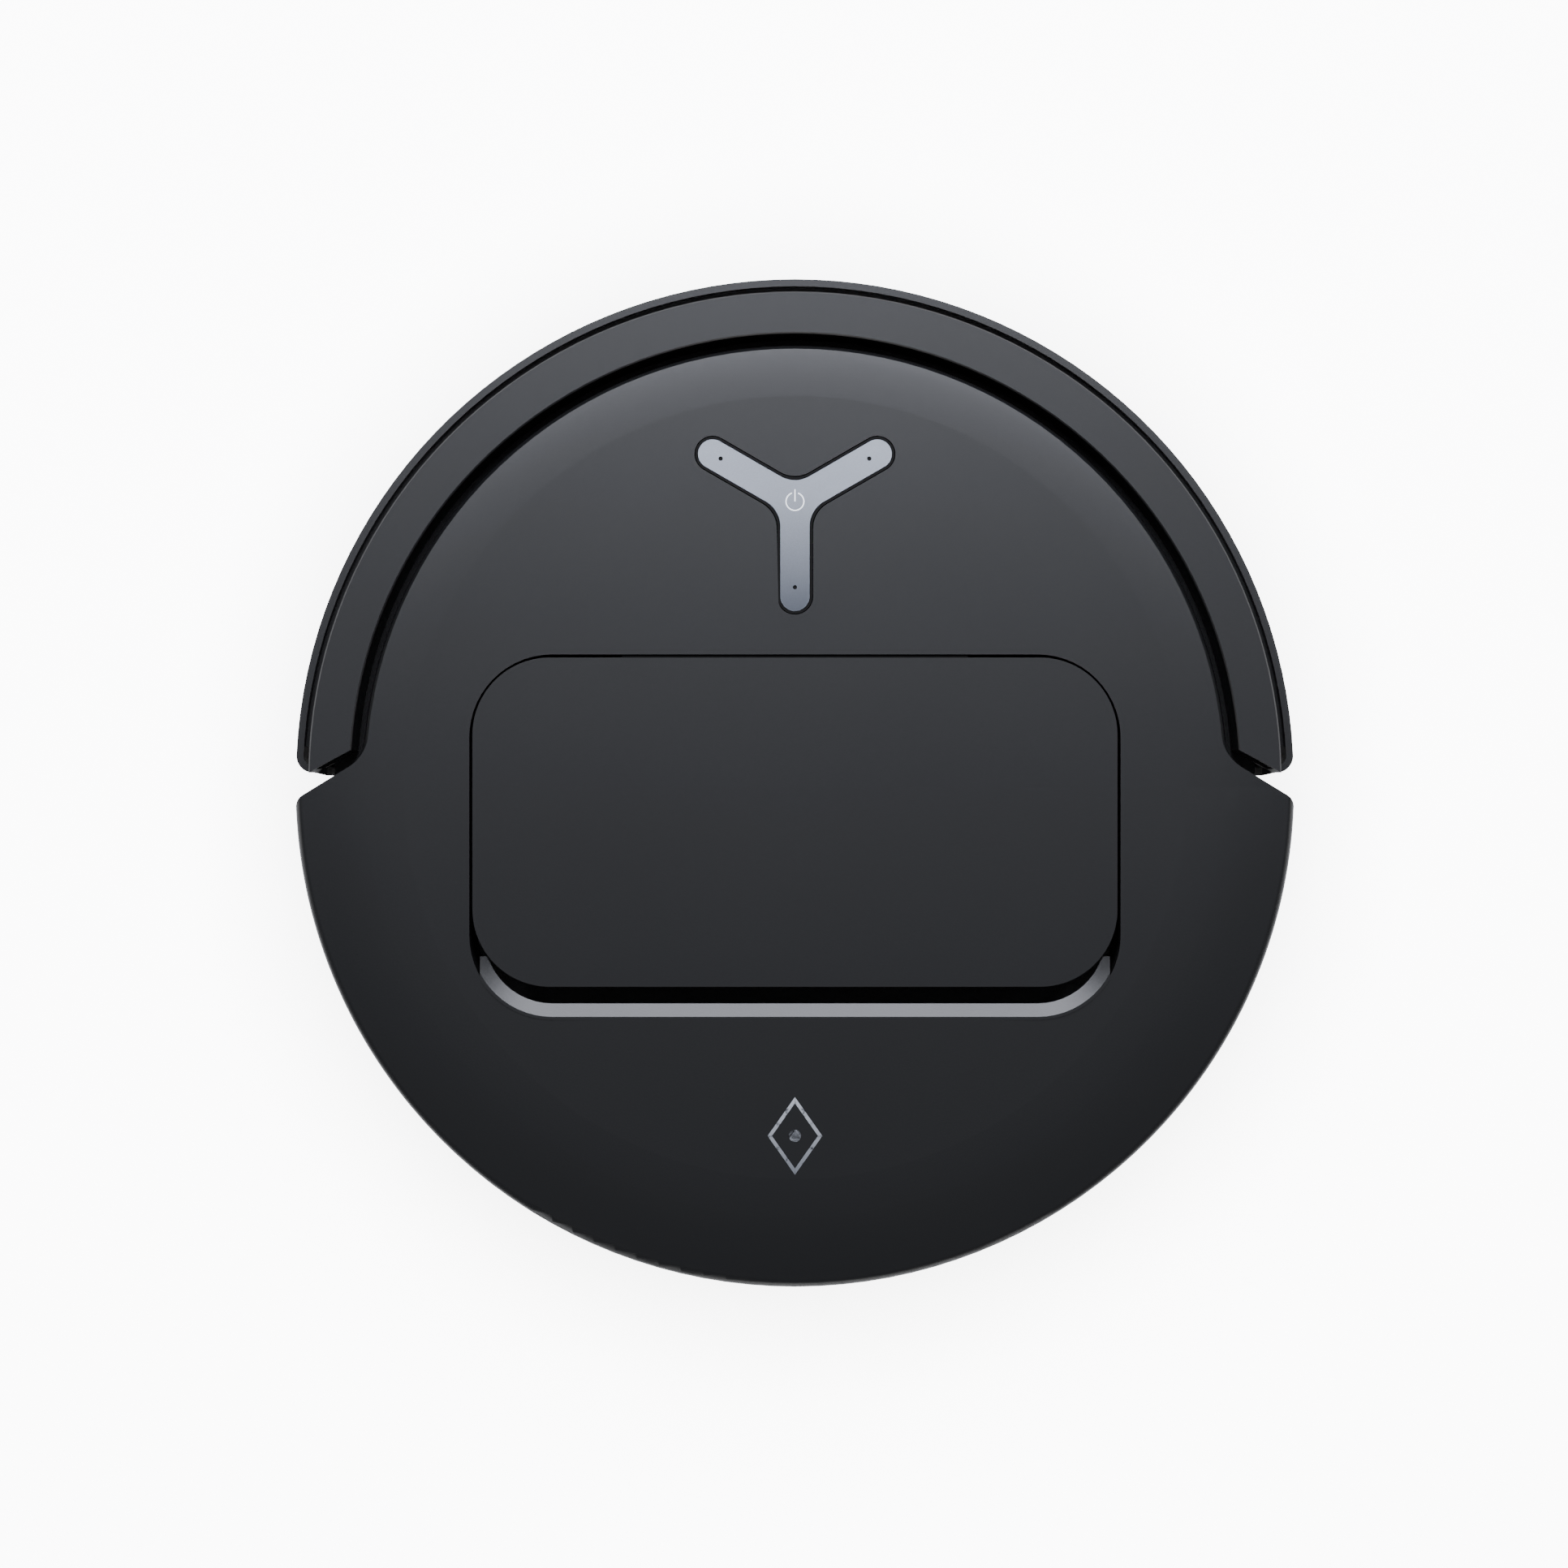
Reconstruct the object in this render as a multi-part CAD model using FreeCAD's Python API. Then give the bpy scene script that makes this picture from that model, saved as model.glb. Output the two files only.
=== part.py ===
import FreeCAD, Part
import math
import os

# Robot vacuum with a sprung front bumper, a lift-out dust bin under a hinged lid, a roller brush,
# a side brush, a roller mop, two sprung drive wheels and a front caster.
# Frame: millimetres, +Z up, +Y to the front (the bumper), +X to the right, floor at z = 0.
# The origin is on the floor, in the middle of the machine's length and width.

V = FreeCAD.Vector

# ---- Driving dimensions -------------------------------------------------------------------------
# Heights
TOP_Z = 98.0             # top of the crown
CLEARANCE_Z = 10.0       # underside of the base pan
PARTING_Z = 72.4         # joint between the side shell and the top cover
WALL = 2.4               # wall of the big mouldings
THIN = 1.8               # wall of the small mouldings
GAP = 0.3                # visible gap between two fixed mouldings
SLIDE_GAP = 0.6          # gap between parts that pass each other
SHAFT_GAP = 0.05         # radial running clearance of every shaft

# Outline in plan
FRONT_Y = 1.0            # centre of all front arcs
REAR_Y = -2.3            # centre of the rear arc
REAR_R = 174.2           # rear arc of the body
DOME_TOP_R = 148.4       # front arc of the cover, at the top
DOME_BASE_R = 151.0      # front arc of the cover, at the parting line
SHOULDER_Z = 88.0        # where the cover's front wall starts to lean inwards
SHOULDER_TOP_Z = 97.2    # where it has leaned in to DOME_TOP_R
WAIST_R = 163.0          # front arc of the side shell, behind the bumper
NOTCH_X = 163.7          # a point of the notch's slanted side
NOTCH_Y = -0.3
NOTCH_ANGLE = 31.0       # slant of the notch's side
NOTCH_CORNER_R = 5.5
NOTCH_HOLLOW_R = 14.0
WAIST_HOLLOW_R = 3.0
WAIST_SETBACK = 4.5      # the side shell's notch is this far behind the cover's

# Crown of the cover
CROWN_R = 9000.0
CROWN_FLAT_R = 136.0     # where the crown starts to roll off
ROLL_R = 300.0
RIM_ROUND = 3.0

# Bumper
BUMPER_TRAVEL = 3.0
BUMPER_R = 175.5
BUMPER_WALL = 2.5
BUMPER_LOW_Z = 14.0
BUMPER_TOP_Z = 81.0
BUMPER_END_X = 172.6     # a point of the bumper's end face
BUMPER_END_Y = 3.4
BUMPER_END_ANGLE = 12.5
BUMPER_BEND_R = 6.0
BUMPER_RETURN_X = 165.8
BUMPER_LIP_R = 167.0     # inner edge of the lip along the bumper's underside
VISOR_IN_R = DOME_BASE_R + BUMPER_TRAVEL + SLIDE_GAP
VISOR_OUT_R = 169.2
VISOR_TOP_Z = 96.0
VISOR_BEVEL = 0.5
VISOR_END_X = 158.6
VISOR_END_Y = 8.5
VISOR_END_ANGLE = 28.0
CARRIER_Z = 73.6
CARRIER_T = 2.4
WINDOW_LOW_Z = 83.0      # scanning window of the visor
WINDOW_TOP_Z = 91.0
WINDOW_HALF_ANGLE = 76.0
FRONT_WINDOW_LOW_Z = 40.0
FRONT_WINDOW_TOP_Z = 66.0
FRONT_WINDOW_HALF_ANGLE = 24.0

# Lid and its opening
LID_HALF_X = 112.0
LID_FRONT_Y = 42.8
LID_REAR_Y = -71.5
LID_CORNER_R = 26.8
LID_T = 3.0
LID_GAP = 1.1
RECESS_REAR_Y = -82.5    # rear edge of the finger recess
RECESS_STRIP = 5.1       # width and depth of its sloped strip
RECESS_DROP = 1.8        # fall of that strip towards the lid
RECESS_HALF_X = 109.4
HINGE_Z = 97.4           # top of the film hinge, where the lid turns
FILM_T = 0.5
FILM_GAP = 0.15
FILM_HALF_X = 60.0

# Power key
KEY_Y = 97.0
KEY_ARM = 33.0
KEY_HALF_W = 5.07
KEY_FILLET = 10.0
KEY_T = 4.0
KEY_TRAVEL = 0.5
BEZEL_W = 0.95
MIC_R = 0.75
MIC_AT = 29.8
ICON_R = 3.1
ICON_LINE = 0.36
ICON_Z = 96.0

# Dust bin and its well
WELL_FLOOR_Z = 16.0
SHELF_Z = 58.0
WELL_RIM_Z = 92.5
DEEP_HALF_X = 88.0
DEEP_FRONT_Y = 0.0
DEEP_REAR_Y = -68.0
BIN_TOP_Z = 91.5
BIN_REAR_Y = -69.0

# Rollers and wheels
BRUSH_Y = 30.0
BRUSH_Z = 22.5
BRUSH_R = 20.0
BRUSH_HALF_X = 80.0
MOP_Y = -120.0
MOP_R = 20.0
MOP_HALF_X = 86.0
SHAFT_R = 3.0
WHEEL_R = 36.0
WHEEL_IN_X = 123.2
WHEEL_OUT_X = 140.2
CASE_IN_X = 115.9
CASE_OUT_X = 143.2
ARM_PIVOT_Y = 46.0
ARM_PIVOT_Z = 34.0
CASTER_Y = 128.0
CASTER_TRAIL = 8.0
CASTER_R = 13.0
SIDE_BRUSH_X = 100.0
SIDE_BRUSH_Y = 104.0
SIDE_BRUSH_REACH = 60.0
BLOWER_X = -58.0
BLOWER_Y = -122.0
BLOWER_R = 32.0

BIG = 400.0              # cutting blocks reach past everything


# ---- Small helpers ------------------------------------------------------------------------------
def box(x0, y0, z0, x1, y1, z1):
    return Part.makeBox(x1 - x0, y1 - y0, z1 - z0, V(x0, y0, z0))


def cyl_z(x, y, z0, z1, radius):
    return Part.makeCylinder(radius, z1 - z0, V(x, y, z0), V(0, 0, 1))


def cyl_x(x0, x1, y, z, radius):
    return Part.makeCylinder(radius, x1 - x0, V(x0, y, z), V(1, 0, 0))


def cyl_y(x, y0, y1, z, radius):
    return Part.makeCylinder(radius, y1 - y0, V(x, y0, z), V(0, 1, 0))


def prism(wire, z0, z1):
    face = Part.Face(wire)
    face.translate(V(0, 0, z0))
    return face.extrude(V(0, 0, z1 - z0))


def rounded_rect(x0, y0, x1, y1, radius):
    """A closed outline in the plane z = 0, with four equal corners."""
    k = radius * (1 - math.sqrt(0.5))
    line = lambda a, b: Part.LineSegment(V(*a, 0), V(*b, 0)).toShape()
    arc = lambda a, b, c: Part.Arc(V(*a, 0), V(*b, 0), V(*c, 0)).toShape()
    r = radius
    return Part.Wire([
        line((x0 + r, y0), (x1 - r, y0)),
        arc((x1 - r, y0), (x1 - k, y0 + k), (x1, y0 + r)),
        line((x1, y0 + r), (x1, y1 - r)),
        arc((x1, y1 - r), (x1 - k, y1 - k), (x1 - r, y1)),
        line((x1 - r, y1), (x0 + r, y1)),
        arc((x0 + r, y1), (x0 + k, y1 - k), (x0, y1 - r)),
        line((x0, y1 - r), (x0, y0 + r)),
        arc((x0, y0 + r), (x0 + k, y0 + k), (x0 + r, y0)),
    ])


def ring(r_in, r_out, z0, z1, cy=FRONT_Y):
    return cyl_z(0, cy, z0, z1, r_out).cut(cyl_z(0, cy, z0 - 1, z1 + 1, r_in))


def sector(half_angle, z0, z1, heading=90.0, cy=FRONT_Y):
    """A wedge with its tip at the arcs' centre, open by half_angle to each side of the heading."""
    a0 = math.radians(heading - half_angle)
    a1 = math.radians(heading + half_angle)
    mid = math.radians(heading)
    points = [V(0, cy, z0)]
    for a in (a0, mid, a1):
        points.append(V(BIG * math.cos(a), cy + BIG * math.sin(a), z0))
    points.append(points[0])
    return Part.Face(Part.makePolygon(points)).extrude(V(0, 0, z1 - z0))


def mirrored(shape):
    return shape.mirror(V(0, 0, 0), V(1, 0, 0))


def both_sides(shape):
    return Part.makeCompound([shape, mirrored(shape)])


def tangent_centre(point, direction, circle_y, distance):
    """The point of the line (point, direction) at a distance from (0, circle_y), on the right."""
    px, py = point[0], point[1] - circle_y
    dx, dy = direction
    b = px * dx + py * dy
    c = px * px + py * py - distance * distance
    root = math.sqrt(b * b - c)
    found = [(point[0] + t * dx, point[1] + t * dy) for t in (-b - root, -b + root)]
    return max(found)


def body_outline(front_r, inset, setback=0.0, hollow_r=NOTCH_HOLLOW_R):
    """The body in plan: rear arc, rounded corner, slanted notch side, hollow and front arc."""
    slant = math.radians(NOTCH_ANGLE)
    along = (-math.cos(slant), math.sin(slant))
    out = (math.sin(slant), math.cos(slant))
    base = (NOTCH_X - inset * out[0], NOTCH_Y - setback - inset * out[1])
    rear_r = REAR_R - inset
    fore_r = front_r - inset
    corner = max(NOTCH_CORNER_R - inset, 0.8)
    hollow = hollow_r + inset
    c1 = tangent_centre((base[0] - corner * out[0], base[1] - corner * out[1]),
                        along, REAR_Y, rear_r - corner)
    c2 = tangent_centre((base[0] + hollow * out[0], base[1] + hollow * out[1]),
                        along, FRONT_Y, fore_r + hollow)
    a1 = math.atan2(c1[1] - REAR_Y, c1[0])
    a2 = math.atan2(c2[1] - FRONT_Y, c2[0])
    rear_end = (rear_r * math.cos(a1), REAR_Y + rear_r * math.sin(a1))
    corner_end = (c1[0] + corner * out[0], c1[1] + corner * out[1])
    hollow_start = (c2[0] - hollow * out[0], c2[1] - hollow * out[1])
    front_start = (fore_r * math.cos(a2), FRONT_Y + fore_r * math.sin(a2))
    corner_mid = arc_middle(c1, corner, rear_end, corner_end)
    hollow_mid = arc_middle(c2, hollow, hollow_start, front_start)
    right = [rear_end, corner_mid, corner_end, hollow_start, hollow_mid, front_start]
    left = [(-x, y) for x, y in right]
    p = [V(x, y, 0) for x, y in right]
    q = [V(x, y, 0) for x, y in left]
    return Part.Wire([
        Part.Arc(q[0], V(0, REAR_Y - rear_r, 0), p[0]).toShape(),
        Part.Arc(p[0], p[1], p[2]).toShape(),
        Part.LineSegment(p[2], p[3]).toShape(),
        Part.Arc(p[3], p[4], p[5]).toShape(),
        Part.Arc(p[5], V(0, FRONT_Y + fore_r, 0), q[5]).toShape(),
        Part.Arc(q[5], q[4], q[3]).toShape(),
        Part.LineSegment(q[3], q[2]).toShape(),
        Part.Arc(q[2], q[1], q[0]).toShape(),
    ])


def arc_middle(centre, radius, start, end):
    mx = (start[0] + end[0]) / 2 - centre[0]
    my = (start[1] + end[1]) / 2 - centre[1]
    size = math.hypot(mx, my)
    return (centre[0] + radius * mx / size, centre[1] + radius * my / size)


def waist_outline(inset):
    return body_outline(WAIST_R, inset, WAIST_SETBACK, WAIST_HOLLOW_R)


def crown_height(r):
    """Height of the crown at a distance r from its axis."""
    z = TOP_Z - min(r, CROWN_FLAT_R) ** 2 / (2 * CROWN_R)
    if r > CROWN_FLAT_R:
        past = r - CROWN_FLAT_R
        z -= past * CROWN_FLAT_R / CROWN_R + past * past / (2 * ROLL_R)
    return z


def crown_solid(drop):
    """Everything under the crown, lowered by drop and drawn in by drop at the rim."""
    rim = REAR_R - drop
    edge = rim - RIM_ROUND
    corner = RIM_ROUND * (1 - math.sqrt(0.5))
    z = lambda r: crown_height(r) - drop
    at = lambda r, h: V(r, REAR_Y, h)
    flat, half = CROWN_FLAT_R, CROWN_FLAT_R / 2
    middle = (flat + edge) / 2
    low = CLEARANCE_Z
    edges = [
        Part.Arc(at(0, z(0)), at(half, z(half)), at(flat, z(flat))).toShape(),
        Part.Arc(at(flat, z(flat)), at(middle, z(middle)), at(edge, z(edge))).toShape(),
        Part.Arc(at(edge, z(edge)), at(rim - corner, z(edge) - corner),
                 at(rim, z(edge) - RIM_ROUND)).toShape(),
        Part.LineSegment(at(rim, z(edge) - RIM_ROUND), at(rim, low)).toShape(),
        Part.LineSegment(at(rim, low), at(0, low)).toShape(),
        Part.LineSegment(at(0, low), at(0, z(0))).toShape(),
    ]
    return Part.Face(Part.Wire(edges)).revolve(V(0, REAR_Y, 0), V(0, 0, 1), 360)


def crown_ball(drop):
    """The crown's middle as a sphere, for what lies wholly inside its roll-off."""
    return Part.makeSphere(CROWN_R, V(0, REAR_Y, TOP_Z - CROWN_R - drop))


def key_outline(half_w):
    """Three equal arms, 120 degrees apart, with round ends and rounded hollows between them."""
    s60, t60 = math.sin(math.radians(60)), math.tan(math.radians(60))
    start = (half_w + KEY_FILLET) / t60
    edges = []
    for k in range(3):
        a = math.radians(-90 + 120 * k)

        def at(along, across, turn=a):
            x = along * math.cos(turn) - across * math.sin(turn)
            y = along * math.sin(turn) + across * math.cos(turn)
            return V(x, KEY_Y + y, 0)

        nxt = a + math.radians(120)
        hollow = (half_w + KEY_FILLET) / s60 - KEY_FILLET
        edges.append(Part.LineSegment(at(start, -half_w), at(KEY_ARM, -half_w)).toShape())
        edges.append(Part.Arc(at(KEY_ARM, -half_w), at(KEY_ARM + half_w, 0),
                              at(KEY_ARM, half_w)).toShape())
        edges.append(Part.LineSegment(at(KEY_ARM, half_w), at(start, half_w)).toShape())
        edges.append(Part.Arc(at(start, half_w), at(hollow, 0, a + math.radians(60)),
                              at(start, -half_w, nxt)).toShape())
    return Part.Wire(edges)


NODES = {}


def node(name, shape):
    NODES[name] = shape


# ---- Casing -------------------------------------------------------------------------------------
CROWN = crown_solid(0.0)
PAN_T = 3.0
PAN_Z = CLEARANCE_Z + PAN_T


def make_base():
    """The base pan: a floor with the openings for everything that reaches the ground."""
    pan = prism(waist_outline(WALL + GAP), CLEARANCE_Z, PAN_Z)
    rim = prism(waist_outline(WALL + GAP), PAN_Z - 0.01, PAN_Z + 8)
    pan = pan.fuse(rim.cut(prism(waist_outline(2 * WALL + GAP), PAN_Z, PAN_Z + 9)))
    brush = box(-DEEP_HALF_X - GAP, 5 - GAP, 0, DEEP_HALF_X + GAP, 55 + GAP, 60)
    mop = box(-93.3, -142.3, 0, 93.3, -97.7, 60)
    pan = pan.cut(brush).cut(mop)
    for side in (-1, 1):
        x0, x1 = sorted((side * (CASE_IN_X + 1.5), side * (CASE_OUT_X - WALL)))
        pan = pan.cut(box(x0, -42, 0, x1, 54, 60))
    pan = pan.cut(cyl_z(0, CASTER_Y, 0, 60, 24))
    pan = pan.cut(cyl_z(SIDE_BRUSH_X, SIDE_BRUSH_Y, 0, 60, 15))
    pan = pan.cut(box(-34, 62, 0, 34, 98, 60))
    for x, y, turn in CLIFF_SENSORS:
        pan = pan.cut(cliff_block(x, y, turn, 0, 60, 0.2))
    for x, y in SCREWS:
        pan = pan.fuse(cyl_z(x, y, PAN_Z - 0.5, PAN_Z + 12, 3.6))
        pan = pan.cut(cyl_z(x, y, 0, PAN_Z + 7, 1.6)).cut(cyl_z(x, y, 0, CLEARANCE_Z + 1.6, 3.4))
    return pan


def make_side_shell():
    shell = prism(waist_outline(0), PAN_Z - 2.5, PARTING_Z - GAP)
    shell = shell.cut(prism(waist_outline(WALL), 0, PARTING_Z - GAP - WALL))
    shell = shell.cut(prism(body_outline(DOME_BASE_R, 2 * WALL), 0, 90))
    shell = shell.cut(sector(GRILLE_HALF, GRILLE_Z0, GRILLE_Z1, GRILLE_AT, REAR_Y)
                      .common(ring(165, 180, GRILLE_Z0, GRILLE_Z1, REAR_Y)))
    shell = shell.cut(dock_window(REAR_R + 1, 0.1))
    return shell.cut(contact_pads(REAR_R + 1, 0.1))


def shoulder(low_share, high_share):
    """A band of the cover's leaning front wall, between two shares of its lean inwards.

    The wall follows a quarter of an ellipse: height share = sqrt(1 - (1 - lean share)^2)."""
    outlines = []
    for share in (low_share, high_share):
        height = SHOULDER_Z + (SHOULDER_TOP_Z - SHOULDER_Z) * math.sqrt(1 - (1 - share) ** 2)
        outline = body_outline(DOME_BASE_R - (DOME_BASE_R - DOME_TOP_R) * share, 0)
        outline.translate(V(0, 0, height))
        outlines.append(outline)
    return Part.makeLoft(outlines, True, True)


def make_top_cover():
    outer = prism(body_outline(DOME_BASE_R, 0), PARTING_Z, SHOULDER_Z)
    for low_share, high_share in ((0.0, 0.12), (0.12, 0.4), (0.4, 1.0)):
        outer = outer.fuse(shoulder(low_share, high_share))
    outer = outer.fuse(prism(body_outline(DOME_TOP_R, 0), SHOULDER_TOP_Z, TOP_Z + 1)).common(CROWN)
    low = body_outline(DOME_BASE_R, WALL)
    high = body_outline(DOME_TOP_R, WALL)
    low.translate(V(0, 0, PARTING_Z - 1))
    high.translate(V(0, 0, TOP_Z + 1))
    inner = Part.makeLoft([low, high], True, True).common(crown_solid(WALL))
    cover = outer.cut(inner)
    rim = opening_outline(-WALL)
    collar = prism(rim, 91, TOP_Z + 1).common(crown_ball(WALL / 2))
    cover = cover.fuse(collar.cut(prism(opening_outline(0), 80, TOP_Z + 2)))
    cover = cover.cut(prism(opening_outline(0), 70, TOP_Z + 2)).fuse(recess_strip())
    cover = cover.fuse(prism(key_outline(KEY_HALF_W + BEZEL_W + GAP + THIN), 92, TOP_Z + 1)
                       .common(crown_ball(WALL / 2)))
    cover = cover.cut(prism(key_outline(KEY_HALF_W + BEZEL_W + GAP), 70, TOP_Z + 2))
    return cover.cut(badge_shape(BADGE_DEPTH, 0.02))


def opening_outline(inset):
    x = LID_HALF_X + LID_GAP - inset
    return rounded_rect(-x, RECESS_REAR_Y + inset, x, LID_FRONT_Y + LID_GAP - inset,
                        LID_CORNER_R + 2.0 - inset)


def recess_strip():
    """The sloped strip behind the lid that leads a finger under the lid's edge."""
    top_z = crown_height(abs(RECESS_REAR_Y))
    low = opening_outline(RECESS_STRIP)
    high = opening_outline(0)
    low.translate(V(0, 0, top_z - RECESS_DROP))
    high.translate(V(0, 0, top_z))
    funnel = Part.makeLoft([low, high], True, True)
    block = prism(opening_outline(-0.6), top_z - RECESS_DROP, top_z - 0.2)
    strip = block.cut(funnel)
    lip = prism(opening_outline(-0.6), top_z - RECESS_DROP - THIN, top_z - RECESS_DROP)
    strip = strip.fuse(lip.cut(prism(opening_outline(RECESS_STRIP), 80, 99)))
    return strip.common(box(-RECESS_HALF_X, RECESS_REAR_Y - 1, 80, RECESS_HALF_X, -61, 99))


BADGE_Y = -123.3
BADGE_HALF_X = 9.5
BADGE_HALF_Y = 13.5
BADGE_LINE = 1.5
BADGE_DEPTH = 0.5


def badge_shape(depth, grow):
    """A diamond outline with a dot in it, inlaid flush in the cover."""
    def diamond(dx):
        hx, hy = BADGE_HALF_X + dx, (BADGE_HALF_X + dx) * BADGE_HALF_Y / BADGE_HALF_X
        pts = [V(hx, BADGE_Y, 80), V(0, BADGE_Y + hy, 80), V(-hx, BADGE_Y, 80), V(0, BADGE_Y - hy, 80)]
        return Part.Face(Part.makePolygon(pts + pts[:1])).extrude(V(0, 0, 30))
    shape = diamond(grow).cut(diamond(-BADGE_LINE - grow))
    shape = shape.fuse(cyl_z(0, BADGE_Y, 80, 110, 2.1 + grow))
    return shape.common(crown_ball(0)).cut(crown_ball(depth))


# ---- Things in the casing's wall ----------------------------------------------------------------
GRILLE_AT = 228.0
GRILLE_HALF = 13.0
GRILLE_Z0 = 34.0
GRILLE_Z1 = 58.0
SLOT_H = 2.2
CLIFF_SENSORS = [(62.0, 140.0, 24.0), (-62.0, 140.0, -24.0), (133.0, 72.0, 61.6),
                 (-133.0, 72.0, -61.6), (146.0, -66.0, -66.0), (-146.0, -66.0, 66.0)]
SCREWS = [(104.0, 70.0), (-104.0, 70.0), (44.0, 150.0), (-44.0, 150.0), (106.0, -62.0),
          (-106.0, -62.0), (126.0, -96.0), (-126.0, -96.0), (60.0, -156.0), (-60.0, -156.0)]


def cliff_block(x, y, turn, z0, z1, grow):
    block = box(-12 - grow, -4.5 - grow, z0, 12 + grow, 4.5 + grow, z1)
    block.rotate(V(0, 0, 0), V(0, 0, 1), -turn)
    block.translate(V(x, y, 0))
    return block


def make_grille():
    """A curved insert with level slots for the blower's air."""
    plate = ring(REAR_R - WALL, REAR_R - 0.4, GRILLE_Z0, GRILLE_Z1, REAR_Y)
    plate = plate.common(sector(GRILLE_HALF - 0.1, GRILLE_Z0 + 0.15, GRILLE_Z1 - 0.15, GRILLE_AT, REAR_Y))
    count = int((GRILLE_Z1 - GRILLE_Z0 - 3) // (2 * SLOT_H))
    for k in range(count):
        z = GRILLE_Z0 + 2.5 + 2 * SLOT_H * k
        for shift in (-GRILLE_HALF / 2, GRILLE_HALF / 2):
            plate = plate.cut(sector(GRILLE_HALF / 2 - 1.0, z, z + SLOT_H, GRILLE_AT + shift, REAR_Y))
    return plate


def rear_insert(x0, x1, z0, z1, face_r, grow):
    """A block let into the rear wall, its face on an arc of radius face_r."""
    skin = ring(REAR_R - WALL - 3 - grow, face_r, z0 - grow, z1 + grow, REAR_Y)
    return skin.common(box(x0 - grow, -BIG, z0 - grow, x1 + grow, 0, z1 + grow))


def dock_window(face_r, grow):
    return rear_insert(-22, 22, 50, 62, face_r, grow)


def contact_pads(face_r, grow):
    pads = [rear_insert(x - 9, x + 9, 22, 30, face_r, grow) for x in (-32.0, 32.0)]
    return Part.makeCompound(pads)


def make_casing():
    node("base_chassis", make_base())
    node("side_shell", make_side_shell())
    node("top_cover", make_top_cover())
    node("rear_badge", badge_shape(BADGE_DEPTH, 0.0))
    node("exhaust_grille", make_grille())
    node("dock_receiver_window", dock_window(REAR_R - 0.2, 0.0))
    node("charging_contacts", contact_pads(REAR_R - 0.1, 0.0))
    node("cliff_sensor_windows", Part.makeCompound(
        [cliff_block(x, y, t, CLEARANCE_Z + 0.3, PAN_Z, 0.0) for x, y, t in CLIFF_SENSORS]))
    screws = []
    for x, y in SCREWS:
        head = cyl_z(x, y, CLEARANCE_Z + 0.2, CLEARANCE_Z + 1.6, 3.2)
        screw = head.fuse(cyl_z(x, y, CLEARANCE_Z + 1.6, PAN_Z + 6, 1.5))
        for turn in (0, 90):
            slot = box(-1.8, -0.4, 0, 1.8, 0.4, CLEARANCE_Z + 1.0)
            slot.rotate(V(0, 0, 0), V(0, 0, 1), turn + 20)
            slot.translate(V(x, y, 0))
            screw = screw.cut(slot)
        screws.append(screw)
    node("base_screws", Part.makeCompound(screws))


# ---- Bumper -------------------------------------------------------------------------------------
def bumper_outline(inset):
    """Front arc that bends round into a slanted end face on each side."""
    slant = math.radians(BUMPER_END_ANGLE)
    along = (-math.cos(slant), -math.sin(slant))
    back = (math.sin(slant), -math.cos(slant))
    base = (BUMPER_END_X - inset * back[0], BUMPER_END_Y - inset * back[1])
    radius = BUMPER_R - inset
    bend = BUMPER_BEND_R - inset
    c = tangent_centre((base[0] - bend * back[0], base[1] - bend * back[1]),
                       along, FRONT_Y, radius - bend)
    a = math.atan2(c[1] - FRONT_Y, c[0])
    start = (radius * math.cos(a), FRONT_Y + radius * math.sin(a))
    foot = (c[0] + bend * back[0], c[1] + bend * back[1])
    mid = arc_middle(c, bend, start, foot)
    reach = (foot[0] - (BUMPER_RETURN_X - 20)) / math.cos(slant)
    end = (foot[0] + reach * along[0], foot[1] + reach * along[1])
    p = [V(x, y, 0) for x, y in (start, mid, foot, end)]
    q = [V(-x, y, 0) for x, y in (start, mid, foot, end)]
    return Part.Wire([
        Part.Arc(p[0], V(0, FRONT_Y + radius, 0), q[0]).toShape(),
        Part.Arc(q[0], q[1], q[2]).toShape(),
        Part.LineSegment(q[2], q[3]).toShape(),
        Part.LineSegment(q[3], p[3]).toShape(),
        Part.LineSegment(p[3], p[2]).toShape(),
        Part.Arc(p[2], p[1], p[0]).toShape(),
    ])


def ends_cut(z0, z1):
    """Everything behind the visor's slanted ends."""
    slant = math.tan(math.radians(VISOR_END_ANGLE))
    y_at = lambda x: VISOR_END_Y - (x - VISOR_END_X) * slant
    pts = [(130.0, y_at(130.0)), (190.0, y_at(190.0)), (190.0, -BIG), (-190.0, -BIG),
           (-190.0, y_at(190.0)), (-130.0, y_at(130.0))]
    pts = [V(x, y, z0) for x, y in pts]
    return Part.Face(Part.makePolygon(pts + pts[:1])).extrude(V(0, 0, z1 - z0))


def make_bumper_shell():
    shell = prism(bumper_outline(0), BUMPER_LOW_Z, BUMPER_TOP_Z)
    shell = shell.cut(prism(bumper_outline(BUMPER_WALL), 0, 99))
    shell = shell.cut(box(-BUMPER_RETURN_X, -20, 0, BUMPER_RETURN_X, 22, 99))
    shell = shell.cut(box(-171, -20, CARRIER_Z - 3.4, 171, 12, 99))
    lip = ring(BUMPER_LIP_R, BUMPER_R - 1, BUMPER_LOW_Z, BUMPER_LOW_Z + 2)
    shell = shell.fuse(lip.cut(box(-BIG, -BIG, 0, BIG, BUMPER_END_Y + 3, 99)))
    window = sector(FRONT_WINDOW_HALF_ANGLE, FRONT_WINDOW_LOW_Z, FRONT_WINDOW_TOP_Z)
    return shell.cut(window)


def make_front_window():
    band = ring(BUMPER_R - 1.9, BUMPER_R - 0.25, FRONT_WINDOW_LOW_Z + 0.15, FRONT_WINDOW_TOP_Z - 0.15)
    return band.common(sector(FRONT_WINDOW_HALF_ANGLE - 0.06, 0, 99))


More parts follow.
